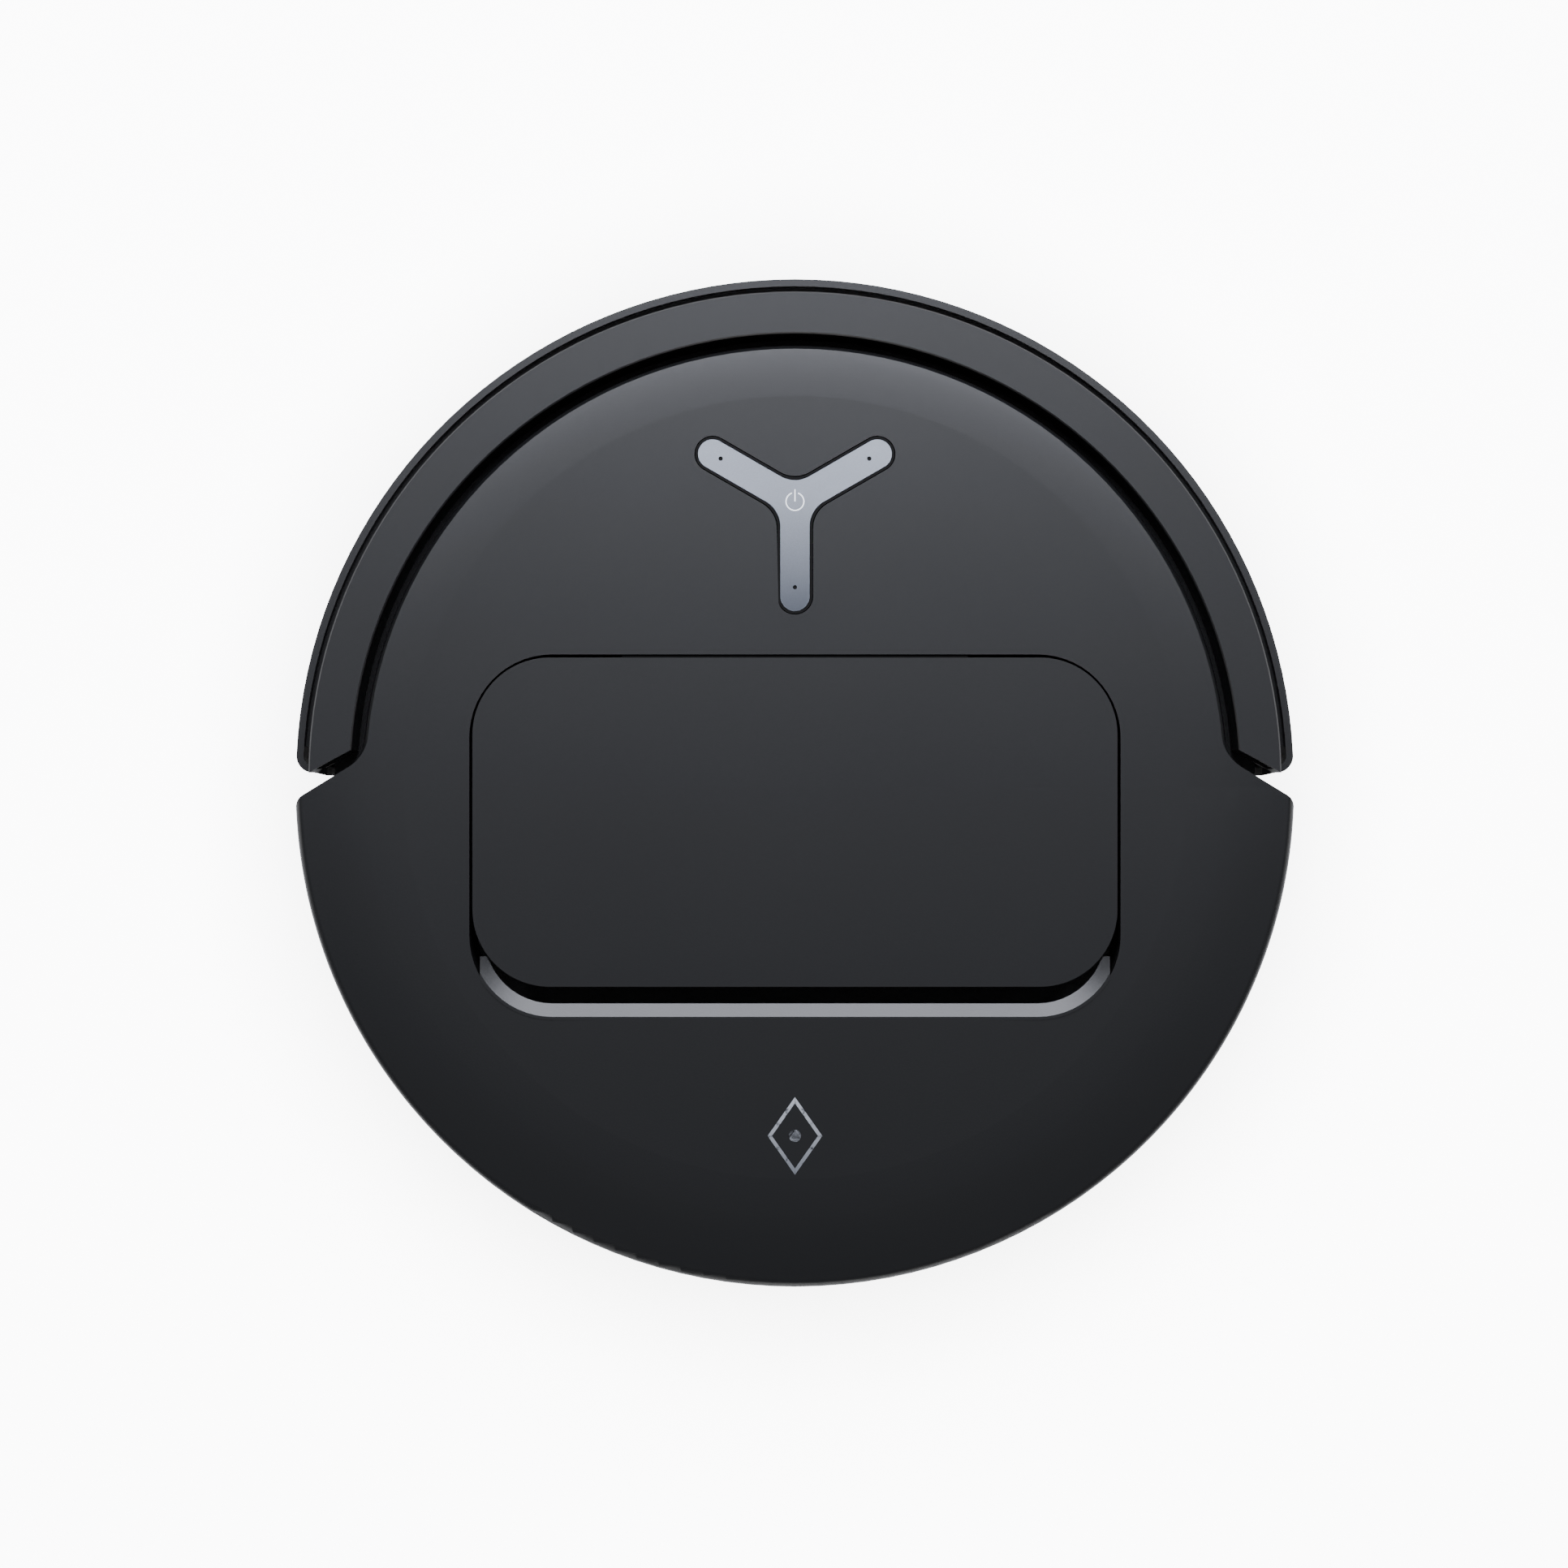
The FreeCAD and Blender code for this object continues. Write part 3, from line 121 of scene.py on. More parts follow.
FLOAT, VECTOR = "NodeSocketFloat", "NodeSocketVector"

# %% [markdown]
# ## Moulded grain
# An injection tool for a household appliance is spark-eroded, which prints a fine pebble
# on the plastic, about a third of a millimetre across. It could be a displaced mesh, but
# that would take millions of faces. A bump from two noises and a cell texture gives the
# same sparkle at any distance, and a slow third noise lets the tone drift as real
# mouldings do.

# %% Group: moulded grain
def make_grain_group():
    """Height = pebble cells + fine noise; Tone = slow noise with a little of the fine one."""
    tree, given, out = new_group(
        "Moulded grain",
        [("Vector", VECTOR, None), ("Grain size", FLOAT, 0.3), ("Unevenness", FLOAT, 1.0)],
        [("Height", FLOAT), ("Tone", FLOAT)])
    scale = maths(tree, "DIVIDE", 1000.0, given["Grain size"])
    cells = add_node(tree, "ShaderNodeTexVoronoi", feature="SMOOTH_F1",
                     inputs={"Vector": given["Vector"], "Scale": scale, "Smoothness": 0.6})
    fine = noise(tree, given["Vector"], maths(tree, "MULTIPLY", scale, 1.7), 3.0, 0.6)
    pebble = maths(tree, "SUBTRACT", 1.0, cells.outputs["Distance"])
    height = maths(tree, "ADD", maths(tree, "MULTIPLY", pebble, 0.6), maths(tree, "MULTIPLY", fine, 0.4))
    slow = noise(tree, given["Vector"], 14.0, 4.0, 0.55)
    drift = maths(tree, "MULTIPLY", maths(tree, "SUBTRACT", slow, 0.5), given["Unevenness"])
    speckle = maths(tree, "MULTIPLY", maths(tree, "SUBTRACT", fine, 0.5), 0.35)
    tree.links.new(height, out["Height"])
    tree.links.new(maths(tree, "ADD", maths(tree, "ADD", drift, speckle), 0.5, clamp=True), out["Tone"])
    return tree


grain_group = make_grain_group()
print("group:", grain_group.name)

# %% [markdown]
# ## Rubbed edges
# Handling polishes the corners of a part first. Comparing the true normal with one that
# is averaged over a small radius finds those corners on any mesh, whatever its faces, and
# a noise breaks the line up so that it doesn't look drawn.

# %% Group: rubbed edges
def make_edge_group():
    """Mask = (1 - true normal . rounded normal) scaled, times a patchy noise."""
    tree, given, out = new_group(
        "Rubbed edges",
        [("Vector", VECTOR, None), ("Radius", FLOAT, 0.0006), ("Amount", FLOAT, 0.5)],
        [("Mask", FLOAT)])
    rounded = add_node(tree, "ShaderNodeBevel", samples=4, inputs={"Radius": given["Radius"]})
    true = add_node(tree, "ShaderNodeNewGeometry")
    dot = add_node(tree, "ShaderNodeVectorMath", operation="DOT_PRODUCT",
                   inputs={0: rounded.outputs["Normal"], 1: true.outputs["Normal"]})
    bend = maths(tree, "SUBTRACT", 1.0, dot.outputs["Value"])
    patchy = remap(tree, noise(tree, given["Vector"], 220.0, 5.0, 0.65), 0.35, 0.7)
    worn = maths(tree, "MULTIPLY", remap(tree, bend, 0.02, 0.25), patchy)
    tree.links.new(maths(tree, "MULTIPLY", worn, given["Amount"], clamp=True), out["Mask"])
    return tree


edge_group = make_edge_group()
print("group:", edge_group.name)

# %% [markdown]
# ## Settled dust
# A floor machine carries a trace of lint on its low parts. The mask is strongest where a
# cloudy noise and a fine speckle agree, so it reads as specks and not as fog.

# %% Group: lint
def make_lint_group():
    """Mask = clouds x specks x Amount."""
    tree, given, out = new_group(
        "Lint", [("Vector", VECTOR, None), ("Amount", FLOAT, 0.3)], [("Mask", FLOAT)])
    clouds = remap(tree, noise(tree, given["Vector"], 32.0, 4.0, 0.6), 0.42, 0.72)
    specks = remap(tree, noise(tree, given["Vector"], 1900.0, 2.0, 0.7), 0.52, 0.75)
    both = maths(tree, "MULTIPLY", clouds, specks)
    tree.links.new(maths(tree, "MULTIPLY", both, given["Amount"], clamp=True), out["Mask"])
    return tree


lint_group = make_lint_group()
print("group:", lint_group.name)

# %% [markdown]
# ## Drawn streaks
# Pins, screws and contact plates are turned, drawn or rolled, which leaves fine parallel
# lines. Stretching a noise along one direction draws them; a Mapping node in each
# material says which way they run.

# %% Group: drawn streaks
def make_streak_group():
    """Height and Tone from one noise squeezed along X, so that its lines run along X."""
    tree, given, out = new_group(
        "Drawn streaks", [("Vector", VECTOR, None), ("Fineness", FLOAT, 2500.0)],
        [("Height", FLOAT), ("Tone", FLOAT)])
    squeeze = add_node(tree, "ShaderNodeVectorMath", operation="MULTIPLY",
                       inputs={0: given["Vector"], 1: (0.03, 1.0, 1.0)})
    lines = noise(tree, squeeze.outputs[0], given["Fineness"], 3.0, 0.6)
    slow = noise(tree, given["Vector"], 60.0, 3.0, 0.5)
    tree.links.new(lines, out["Height"])
    tree.links.new(maths(tree, "ADD", maths(tree, "MULTIPLY", lines, 0.6),
                         maths(tree, "MULTIPLY", slow, 0.4)), out["Tone"])
    return tree


streak_group = make_streak_group()
print("group:", streak_group.name)

# %% [markdown]
# ## One recipe for moulded parts
# Almost every casing here is the same process: coloured plastic out of a grained tool.
# So one function builds the graph, and each finish gives it two tones, a roughness range,
# a grain size and depth, and how much its edges are rubbed or dusty.

# %% Moulded plastic
def start_finish(name):
    """An empty material with Principled BSDF; returns material, tree, shader, object vector."""
    material = bpy.data.materials.new(name)
    material.use_nodes = True
    tree = material.node_tree
    tree.nodes.clear()
    shader = tree.nodes.new("ShaderNodeBsdfPrincipled")
    output = tree.nodes.new("ShaderNodeOutputMaterial")
    tree.links.new(shader.outputs["BSDF"], output.inputs["Surface"])
    place = tree.nodes.new("ShaderNodeTexCoord").outputs["Object"]
    return material, tree, shader, place


def use_group(tree, group, **values):
    """The group placed in a material; underscores in the names stand for spaces."""
    return add_node(tree, "ShaderNodeGroup", node_tree=group,
                    inputs={key.replace("_", " "): value for key, value in values.items()})


def grey(value, blue=0.0):
    """A near-neutral colour, a little bluer than grey where blue is above 0."""
    return (value * (1 - blue), value, value * (1 + 1.6 * blue), 1.0)


def moulded(name, dark, light, rough=(0.42, 0.5), grain=0.3, depth=0.05, uneven=1.0,
            rubbed=0.0, rub_radius=0.0005, lint=0.0, **sockets):
    """A grained plastic. rough is its roughness range, grain and depth are in millimetres."""
    material, tree, shader, place = start_finish(name)
    texture = use_group(tree, grain_group, Vector=place, Grain_size=grain, Unevenness=uneven)
    tone = texture.outputs["Tone"]
    colour = mix_colour(tree, tone, dark, light)
    roughness = remap(tree, tone, 0.0, 1.0, rough[1], rough[0])
    if rubbed:
        mask = use_group(tree, edge_group, Vector=place, Radius=rub_radius, Amount=rubbed).outputs["Mask"]
        paler = tuple(min(1.0, c * 3.2 + 0.02) for c in light[:3]) + (1.0,)
        colour = mix_colour(tree, mask, colour, paler)
        roughness = maths(tree, "SUBTRACT", roughness, maths(tree, "MULTIPLY", mask, 0.15))
    if lint:
        mask = use_group(tree, lint_group, Vector=place, Amount=lint).outputs["Mask"]
        colour = mix_colour(tree, mask, colour, (0.30, 0.28, 0.25, 1.0))
        roughness = maths(tree, "ADD", roughness, maths(tree, "MULTIPLY", mask, 0.4), clamp=True)
    bump = add_node(tree, "ShaderNodeBump", inputs={
        "Strength": 1.0, "Distance": depth * MM, "Height": texture.outputs["Height"]})
    tree.links.new(colour, shader.inputs["Base Color"])
    tree.links.new(roughness, shader.inputs["Roughness"])
    tree.links.new(bump.outputs["Normal"], shader.inputs["Normal"])
    for key, value in sockets.items():
        shader.inputs[key.replace("_", " ")].default_value = value
    return material


finishes = {}
finishes["cover_plastic"] = moulded(
    "cover_plastic", grey(0.0050, 0.05), grey(0.0071, 0.05), (0.34, 0.40), 0.28, 0.012, 0.5,
    Specular_IOR_Level=0.46)
finishes["bumper_plastic"] = moulded(
    "bumper_plastic", grey(0.0050, 0.05), grey(0.0071, 0.05), (0.34, 0.41), 0.28, 0.012, 0.5,
    Specular_IOR_Level=0.46)
finishes["shell_plastic"] = moulded(
    "shell_plastic", grey(0.0052, 0.05), grey(0.0074, 0.05), (0.38, 0.46), 0.3, 0.014, 0.6,
    Specular_IOR_Level=0.44)
finishes["base_plastic"] = moulded(
    "base_plastic", grey(0.011, 0.02), grey(0.017, 0.02), (0.46, 0.6), 0.55, 0.03, 1.0,
    rubbed=0.35, lint=0.25)
finishes["inner_plastic"] = moulded(
    "inner_plastic", grey(0.010, 0.02), grey(0.015, 0.02), (0.44, 0.56), 0.4, 0.02, 0.8,
    rubbed=0.15, lint=0.1)
# bezel_plastic: near black and dull, painted shade, so that the bezel and the gaps on either side of it read
# as one dark ring.
finishes["bezel_plastic"] = moulded(
    "bezel_plastic", grey(0.0010), grey(0.0016), (0.5, 0.6), 0.2, 0.006, 0.4, Specular_IOR_Level=0.12)
# hinge_film: near black and dull, painted shade for the lid's front gap.
finishes["hinge_film"] = moulded(
    "hinge_film", grey(0.0006), grey(0.0012), (0.6, 0.75), 0.2, 0.006, 0.4, Specular_IOR_Level=0.06)
finishes["hub_plastic"] = moulded(
    "hub_plastic", grey(0.075, 0.02), grey(0.105, 0.02), (0.4, 0.5), 0.35, 0.02, 0.8,
    rubbed=0.3, lint=0.3)
finishes["caster_plastic"] = moulded(
    "caster_plastic", grey(0.30, 0.0), grey(0.42, 0.0), (0.42, 0.55), 0.4, 0.02, 0.9,
    rubbed=0.2, lint=0.4)
print("moulded finishes:", sorted(finishes))

# %% [markdown]
# ## Silver key and grey mark
# The key is plastic painted silver: fine metal flakes lie nearly flat in the paint, so it
# shines like satin metal with a faint glitter. Flakes come from a cell texture that
# tilts the normal a little, cell by cell. The rear mark is the same paint in a darker
# grey.

# %% Painted metal look
def flake_paint(name, dark, light, rough, foot, head, **sockets):
    """Silver paint: metallic, with tiny cells that differ in tone and height. It carries a
    painted shade: the colour darkens by half from y = head to y = foot, towards the rear."""
    material, tree, shader, place = start_finish(name)
    flakes = add_node(tree, "ShaderNodeTexVoronoi", feature="F1", inputs={"Vector": place, "Scale": 7000.0})
    flake = maths(tree, "FRACT", maths(tree, "MULTIPLY", flakes.outputs["Color"], 7.3))
    slow = noise(tree, place, 45.0, 4.0, 0.6)
    tone = maths(tree, "ADD", maths(tree, "MULTIPLY", flake, 0.35), maths(tree, "MULTIPLY", slow, 0.65))
    bump = add_node(tree, "ShaderNodeBump", inputs={"Strength": 1.0, "Distance": 0.004 * MM, "Height": flake})
    edges = use_group(tree, edge_group, Vector=place, Radius=0.0004, Amount=0.5).outputs["Mask"]
    # Painted shade: a ramp along y that darkens the paint towards the foot.
    painted_shade_ramp = remap(tree, add_node(tree, "ShaderNodeSeparateXYZ", inputs={"Vector": place}).outputs["Y"],
                    foot, head)
    flakes_mix = mix_colour(tree, tone, dark, light)
    painted_shade_colour = add_node(tree, "ShaderNodeMix", data_type="RGBA", blend_type="MULTIPLY",
                    inputs={0: 1.0, 6: flakes_mix, 7: (0.36, 0.37, 0.39, 1.0)}).outputs[2]
    colour = mix_colour(tree, edges, mix_colour(tree, painted_shade_ramp, painted_shade_colour, flakes_mix), light)
    tree.links.new(colour, shader.inputs["Base Color"])
    tree.links.new(remap(tree, tone, 0.2, 0.8, rough[1], rough[0]), shader.inputs["Roughness"])
    tree.links.new(bump.outputs["Normal"], shader.inputs["Normal"])
    for key, value in sockets.items():
        shader.inputs[key.replace("_", " ")].default_value = value
    return material


key_low, key_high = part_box("power_key")
mark_low, mark_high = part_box("rear_badge")
# Key and mark both carry the painted shade, darker by half towards their rear ends.
finishes["key_metal"] = flake_paint(
    "key_metal", grey(0.265, 0.07), grey(0.39, 0.07), (0.30, 0.38),
    key_low.y, key_high.y - 20 * MM, Metallic=0.85)
finishes["mark_grey"] = flake_paint(
    "mark_grey", grey(0.55, 0.04), grey(0.72, 0.04), (0.36, 0.44), mark_low.y, mark_high.y, Metallic=0.7)
print("painted finishes: key_metal, mark_grey")

# %% [markdown]
# ## Bare metal
# Screws, pins and motor cans are plated steel, and the charging contacts are nickel over
# copper with the arcs that the dock's springs have rubbed into them.

# %% Steel and contacts
def drawn_metal(name, dark, light, rough, turn=(0.0, 0.0, 0.0), fineness=2500.0):
    """Metal with fine parallel lines; turn says which way the lines run."""
    material, tree, shader, place = start_finish(name)
    turned = add_node(tree, "ShaderNodeMapping", inputs={"Vector": place, "Rotation": turn})
    lines = use_group(tree, streak_group, Vector=turned.outputs["Vector"], Fineness=fineness)
    edges = use_group(tree, edge_group, Vector=place, Radius=0.0003, Amount=0.4).outputs["Mask"]
    colour = mix_colour(tree, edges, mix_colour(tree, lines.outputs["Tone"], dark, light),
                        (0.85, 0.85, 0.85, 1.0))
    bump = add_node(tree, "ShaderNodeBump", inputs={
        "Strength": 1.0, "Distance": 0.004 * MM, "Height": lines.outputs["Height"]})
    tree.links.new(colour, shader.inputs["Base Color"])
    roughness = remap(tree, lines.outputs["Tone"], 0.3, 0.7, rough[1], rough[0])
    tree.links.new(roughness, shader.inputs["Roughness"])
    tree.links.new(bump.outputs["Normal"], shader.inputs["Normal"])
    shader.inputs["Metallic"].default_value = 1.0
    return material


finishes["steel"] = drawn_metal("steel", grey(0.34, 0.01), grey(0.52, 0.01), (0.22, 0.36))
finishes["contact_metal"] = drawn_metal(
    "contact_metal", (0.52, 0.44, 0.30, 1.0), (0.72, 0.64, 0.48, 1.0), (0.2, 0.34), (0.0, math.pi / 2, 0.0))
print("metal finishes: steel, contact_metal")

# %% [markdown]
# ## Smoked windows and tinted bins
# The sensors look out through polished plastic dyed almost black, clear only to infrared.
# The dust bin and water tank are the same idea with less dye. Polished faces still show
# a slow waviness from the mould and a few hairline marks, which keep the gloss honest.

# %% Polished and tinted plastic
def polished(name, dark, light, rough, wave=0.02, **sockets):
    """Glossy dyed plastic: slow waviness in the normal, faint cloud in the roughness."""
    material, tree, shader, place = start_finish(name)
    slow = noise(tree, place, 22.0, 2.0, 0.4)
    hair = use_group(tree, streak_group, Vector=place, Fineness=900.0)
    cloud = noise(tree, place, 160.0, 5.0, 0.6)
    tone = maths(tree, "ADD", maths(tree, "MULTIPLY", slow, 0.6), maths(tree, "MULTIPLY", cloud, 0.4))
    bump = add_node(tree, "ShaderNodeBump", inputs={"Strength": 1.0, "Distance": wave * MM, "Height": slow})
    marks = remap(tree, hair.outputs["Height"], 0.62, 0.8)
    roughness = maths(tree, "ADD", remap(tree, tone, 0.3, 0.7, rough[0], rough[1]),
                      maths(tree, "MULTIPLY", marks, 0.1), clamp=True)
    tree.links.new(mix_colour(tree, tone, dark, light), shader.inputs["Base Color"])
    tree.links.new(roughness, shader.inputs["Roughness"])
    tree.links.new(bump.outputs["Normal"], shader.inputs["Normal"])
    for key, value in sockets.items():
        shader.inputs[key.replace("_", " ")].default_value = value
    return material


finishes["window_plastic"] = polished(
    "window_plastic", (0.0035, 0.002, 0.0025, 1.0), (0.006, 0.0035, 0.004, 1.0), (0.06, 0.14),
    Specular_IOR_Level=0.6, Coat_Weight=0.4, Coat_Roughness=0.05)
finishes["bin_plastic"] = polished(
    "bin_plastic", grey(0.10, 0.03), grey(0.15, 0.03), (0.12, 0.22), IOR=1.49, Transmission_Weight=0.45)
finishes["tank_plastic"] = polished(
    "tank_plastic", (0.30, 0.34, 0.38, 1.0), (0.40, 0.45, 0.50, 1.0), (0.22, 0.36), IOR=1.49,
    Transmission_Weight=0.4)
finishes["light_white"] = polished(
    "light_white", (0.78, 0.80, 0.82, 1.0), (0.90, 0.91, 0.92, 1.0), (0.25, 0.35),
    Emission_Color=(0.9, 0.95, 1.0, 1.0), Emission_Strength=1.4)
print("polished finishes: window_plastic, bin_plastic, tank_plastic, light_white")

# %% [markdown]
# ## Rubber, bristle, paper, cloth, boards and wrap
# The tyres and brush fins are rubber: dark, dull and a little chalky, with a sheen at
# grazing angles. Bristles are dyed nylon. The filter is folded paper felt, the pile of
# the mop is dyed microfibre, the boards are solder-masked glass cloth, and the battery
# sits in a shrink wrap.

# %% Rubber and nylon
finishes["tyre_rubber"] = moulded(
    "tyre_rubber", grey(0.008, 0.0), grey(0.020, 0.0), (0.62, 0.78), 0.5, 0.05, 1.4, lint=0.6,
    Specular_IOR_Level=0.3, Sheen_Weight=0.25, Sheen_Roughness=0.4)
finishes["brush_rubber"] = moulded(
    "brush_rubber", grey(0.022, 0.03), grey(0.040, 0.03), (0.5, 0.66), 0.4, 0.03, 1.2, lint=0.3,
    Specular_IOR_Level=0.35, Sheen_Weight=0.2, Sheen_Roughness=0.4)
finishes["bristle"] = moulded(
    "bristle", grey(0.10, 0.02), grey(0.24, 0.02), (0.32, 0.5), 0.6, 0.01, 1.6, lint=0.1,
    Subsurface_Weight=0.15, Subsurface_Scale=0.0005)


# %% Fibres: filter paper and mop pile
def fibrous(name, dark, light, fibre, depth, **sockets):
    """Matted fibres: two noises stretched along different directions, crossed."""
    material, tree, shader, place = start_finish(name)
    along = add_node(tree, "ShaderNodeMapping", inputs={"Vector": place, "Rotation": (0.4, 0.2, 0.9)})
    across = add_node(tree, "ShaderNodeMapping", inputs={"Vector": place, "Rotation": (1.3, 0.9, -0.7)})
    one = use_group(tree, streak_group, Vector=along.outputs["Vector"], Fineness=fibre)
    two = use_group(tree, streak_group, Vector=across.outputs["Vector"], Fineness=fibre * 1.3)
    fibres = maths(tree, "MAXIMUM", one.outputs["Height"], two.outputs["Height"])
    mixed = maths(tree, "ADD", fibres, maths(tree, "MULTIPLY", one.outputs["Tone"], 0.5))
    tone = remap(tree, mixed, 0.5, 1.1)
    bump = add_node(tree, "ShaderNodeBump", inputs={
        "Strength": 1.0, "Distance": depth * MM, "Height": fibres})
    tree.links.new(mix_colour(tree, tone, dark, light), shader.inputs["Base Color"])
    tree.links.new(remap(tree, tone, 0.0, 1.0, 0.95, 0.78), shader.inputs["Roughness"])
    tree.links.new(bump.outputs["Normal"], shader.inputs["Normal"])
    for key, value in sockets.items():
        shader.inputs[key.replace("_", " ")].default_value = value
    return material


finishes["filter_paper"] = fibrous("filter_paper", (0.52, 0.50, 0.44, 1.0), (0.78, 0.76, 0.70, 1.0),
                                   1500.0, 0.06, Sheen_Weight=0.3)
finishes["mop_fabric"] = fibrous("mop_fabric", (0.13, 0.14, 0.16, 1.0), (0.34, 0.36, 0.39, 1.0),
                                 2600.0, 0.12, Sheen_Weight=0.8, Sheen_Roughness=0.35)


# %% Circuit board and battery wrap
def circuit_board(name):
    """Solder mask with copper tracks under it: a stepped brick pattern, raised a little."""
    material, tree, shader, place = start_finish(name)
    tracks = add_node(tree, "ShaderNodeTexBrick", offset=0.37, squash=1.0, inputs={
        "Vector": place, "Scale": 260.0, "Mortar Size": 0.035, "Mortar Smooth": 0.2,
        "Brick Width": 1.3, "Row Height": 0.35})
    line = tracks.outputs["Fac"]
    blotch = remap(tree, noise(tree, place, 240.0, 2.0), 0.5, 0.56)
    copper = maths(tree, "MULTIPLY", line, blotch)
    grain = use_group(tree, grain_group, Vector=place, Grain_size=0.5, Unevenness=0.6)
    mask = mix_colour(tree, grain.outputs["Tone"], (0.006, 0.055, 0.026, 1.0), (0.010, 0.085, 0.040, 1.0))
    bump = add_node(tree, "ShaderNodeBump", inputs={"Strength": 1.0, "Distance": 0.03 * MM, "Height": copper})
    tree.links.new(mix_colour(tree, copper, mask, (0.03, 0.20, 0.09, 1.0)), shader.inputs["Base Color"])
    tree.links.new(remap(tree, grain.outputs["Tone"], 0.0, 1.0, 0.34, 0.24), shader.inputs["Roughness"])
    tree.links.new(bump.outputs["Normal"], shader.inputs["Normal"])
    return material


finishes["board_green"] = circuit_board("board_green")
finishes["battery_wrap"] = moulded(
    "battery_wrap", (0.010, 0.020, 0.050, 1.0), (0.018, 0.035, 0.085, 1.0), (0.2, 0.34), 2.5, 0.12, 1.5,
    rubbed=0.2, Coat_Weight=0.3, Coat_Roughness=0.12)
print("finishes:", len(finishes))

# %% [markdown]
# ## Finishes onto the frame
# Every node already carries a named slot, so its finish is found by that name. The film
# that hinges the lid lies in the lid's front gap, and it gets a dull black of its own, which
# paints the gap's shade onto the film, so that the gap reads as one dark line.

# %% Put each finish on its nodes
for name, node in nodes.items():
    for slot in node.material_slots:
        slot.material = finishes[slot.material.name.split(".")[0]]
# The film's black is painted shade for the gap it lies in.
nodes["lid_hinge_film"].material_slots[0].material = finishes["hinge_film"]
print("nodes finished:", sum(len(node.material_slots) for node in nodes.values()))

# %% [markdown]
# ## Surfaces from numpy
# A new piece is a grid of points: rows along the piece, columns around it. Working the
# whole grid out as one array is quick and exact, and the faces follow from the grid's
# own numbering. A piece that repeats, such as a bristle, is a stack of such grids.

# %% Grid to mesh
def grid_faces(rows, columns, around=True):
    """Four-sided faces between neighbouring points of a rows x columns grid."""
    r = np.arange(rows - 1)[:, None]
    c = np.arange(columns if around else columns - 1)[None, :]
    nxt = (c + 1) % columns
    quad = np.stack([r * columns + c, r * columns + nxt, (r + 1) * columns + nxt, (r + 1) * columns + c], -1)
    return quad.reshape(-1, 4)


def mesh_object(name, points, faces, body, slot, smooth=True):
    """A piece from points (metres) and a list of faces, with its finish, on its body."""
    mesh = bpy.data.meshes.new(name)
    mesh.from_pydata(np.asarray(points, float).reshape(-1, 3).tolist(), [], faces)
    mesh.update()
    mesh.polygons.foreach_set("use_smooth", np.full(len(mesh.polygons), smooth))
    mesh.materials.append(finishes[slot])
    piece = bpy.data.objects.new(name, mesh)
    bpy.context.scene.collection.objects.link(piece)
    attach(piece, body)
    return piece


def tubes(points):
    """Points (count, rows, columns, 3) and the faces of that many tubes with closed ends."""
    count, rows, columns = points.shape[:3]
    side = grid_faces(rows, columns)
    start = np.arange(columns)[::-1]
    end = (rows - 1) * columns + np.arange(columns)
    shift = np.arange(count)[:, None, None] * rows * columns
    faces = (side[None] + shift).reshape(-1, 4).tolist()
    faces += (start[None, None] + shift).reshape(-1, columns).tolist()
    faces += (end[None, None] + shift).reshape(-1, columns).tolist()
    return points.reshape(-1, 3), faces


print("faces of a 3 x 4 tube:", len(grid_faces(3, 4)))

# %% [markdown]
# ## The roller brush
# A real roller brush carries soft rubber fins that wind from both ends towards the middle,
# so that dirt is swept inwards to the duct, with a row of nylon tufts between each two
# fins. The frame has six straight fins as stand-ins. A fin here is one closed loop of
# points, carried along the axle while it turns in proportion to the distance from the
# middle, which gives the V.

# %% Roller brush sizes
core_low, core_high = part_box("main_brush_core")
fin_low, fin_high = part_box("main_brush_fins")
BRUSH_Y = (core_low.y + core_high.y) / 2
BRUSH_Z = (core_low.z + core_high.z) / 2
BRUSH_REACH = (fin_high.z - fin_low.z) / 2
BRUSH_CORE = (core_high.z - core_low.z) / 2
BRUSH_HALF = fin_high.x
BRUSH_TWIST = math.radians(75)
print("brush reach mm:", round(BRUSH_REACH / MM, 2), " core mm:", round(BRUSH_CORE / MM, 2))


# %% Rubber fins in a V
def around_brush(x, radius, angle):
    """Points at radius and angle about the brush's axle, at x along it."""
    x, radius, angle = np.broadcast_arrays(x, radius, angle)
    return np.stack([x, BRUSH_Y + radius * np.cos(angle), BRUSH_Z + radius * np.sin(angle)], -1)


def brush_turn(x):
    """The V: the angle grows with the distance from the middle."""
    return BRUSH_TWIST * np.abs(x) / BRUSH_HALF


def make_fins():
    """Each fin: a blade section (radius, sideways) carried along x and turned by brush_turn."""
    radius = np.array([-0.3, 0.5, 0.92, 0.985, 1.0, 0.985, 0.92, 0.5, -0.3])
    radius = BRUSH_CORE + radius * (BRUSH_REACH - BRUSH_CORE)
    half = np.array([1.3, 0.8, 0.6, 0.4, 0.0, -0.4, -0.6, -0.8, -1.3]) * MM
    lean = 0.10 * ((radius - BRUSH_CORE) / (BRUSH_REACH - BRUSH_CORE)) ** 2
    x = np.linspace(-BRUSH_HALF, BRUSH_HALF, 105)[:, None]
    start = np.radians(30 + 120 * np.arange(3))[:, None, None]
    angle = start + brush_turn(x)[None] + (lean + half / radius)[None, None]
    points = around_brush(x[None], radius[None, None], angle)
    return tubes(points[:, :, ::-1])


fins = mesh_object("brush_fins_rubber", *make_fins(), "main_brush", "brush_rubber")
print("fin faces:", len(fins.data.polygons))


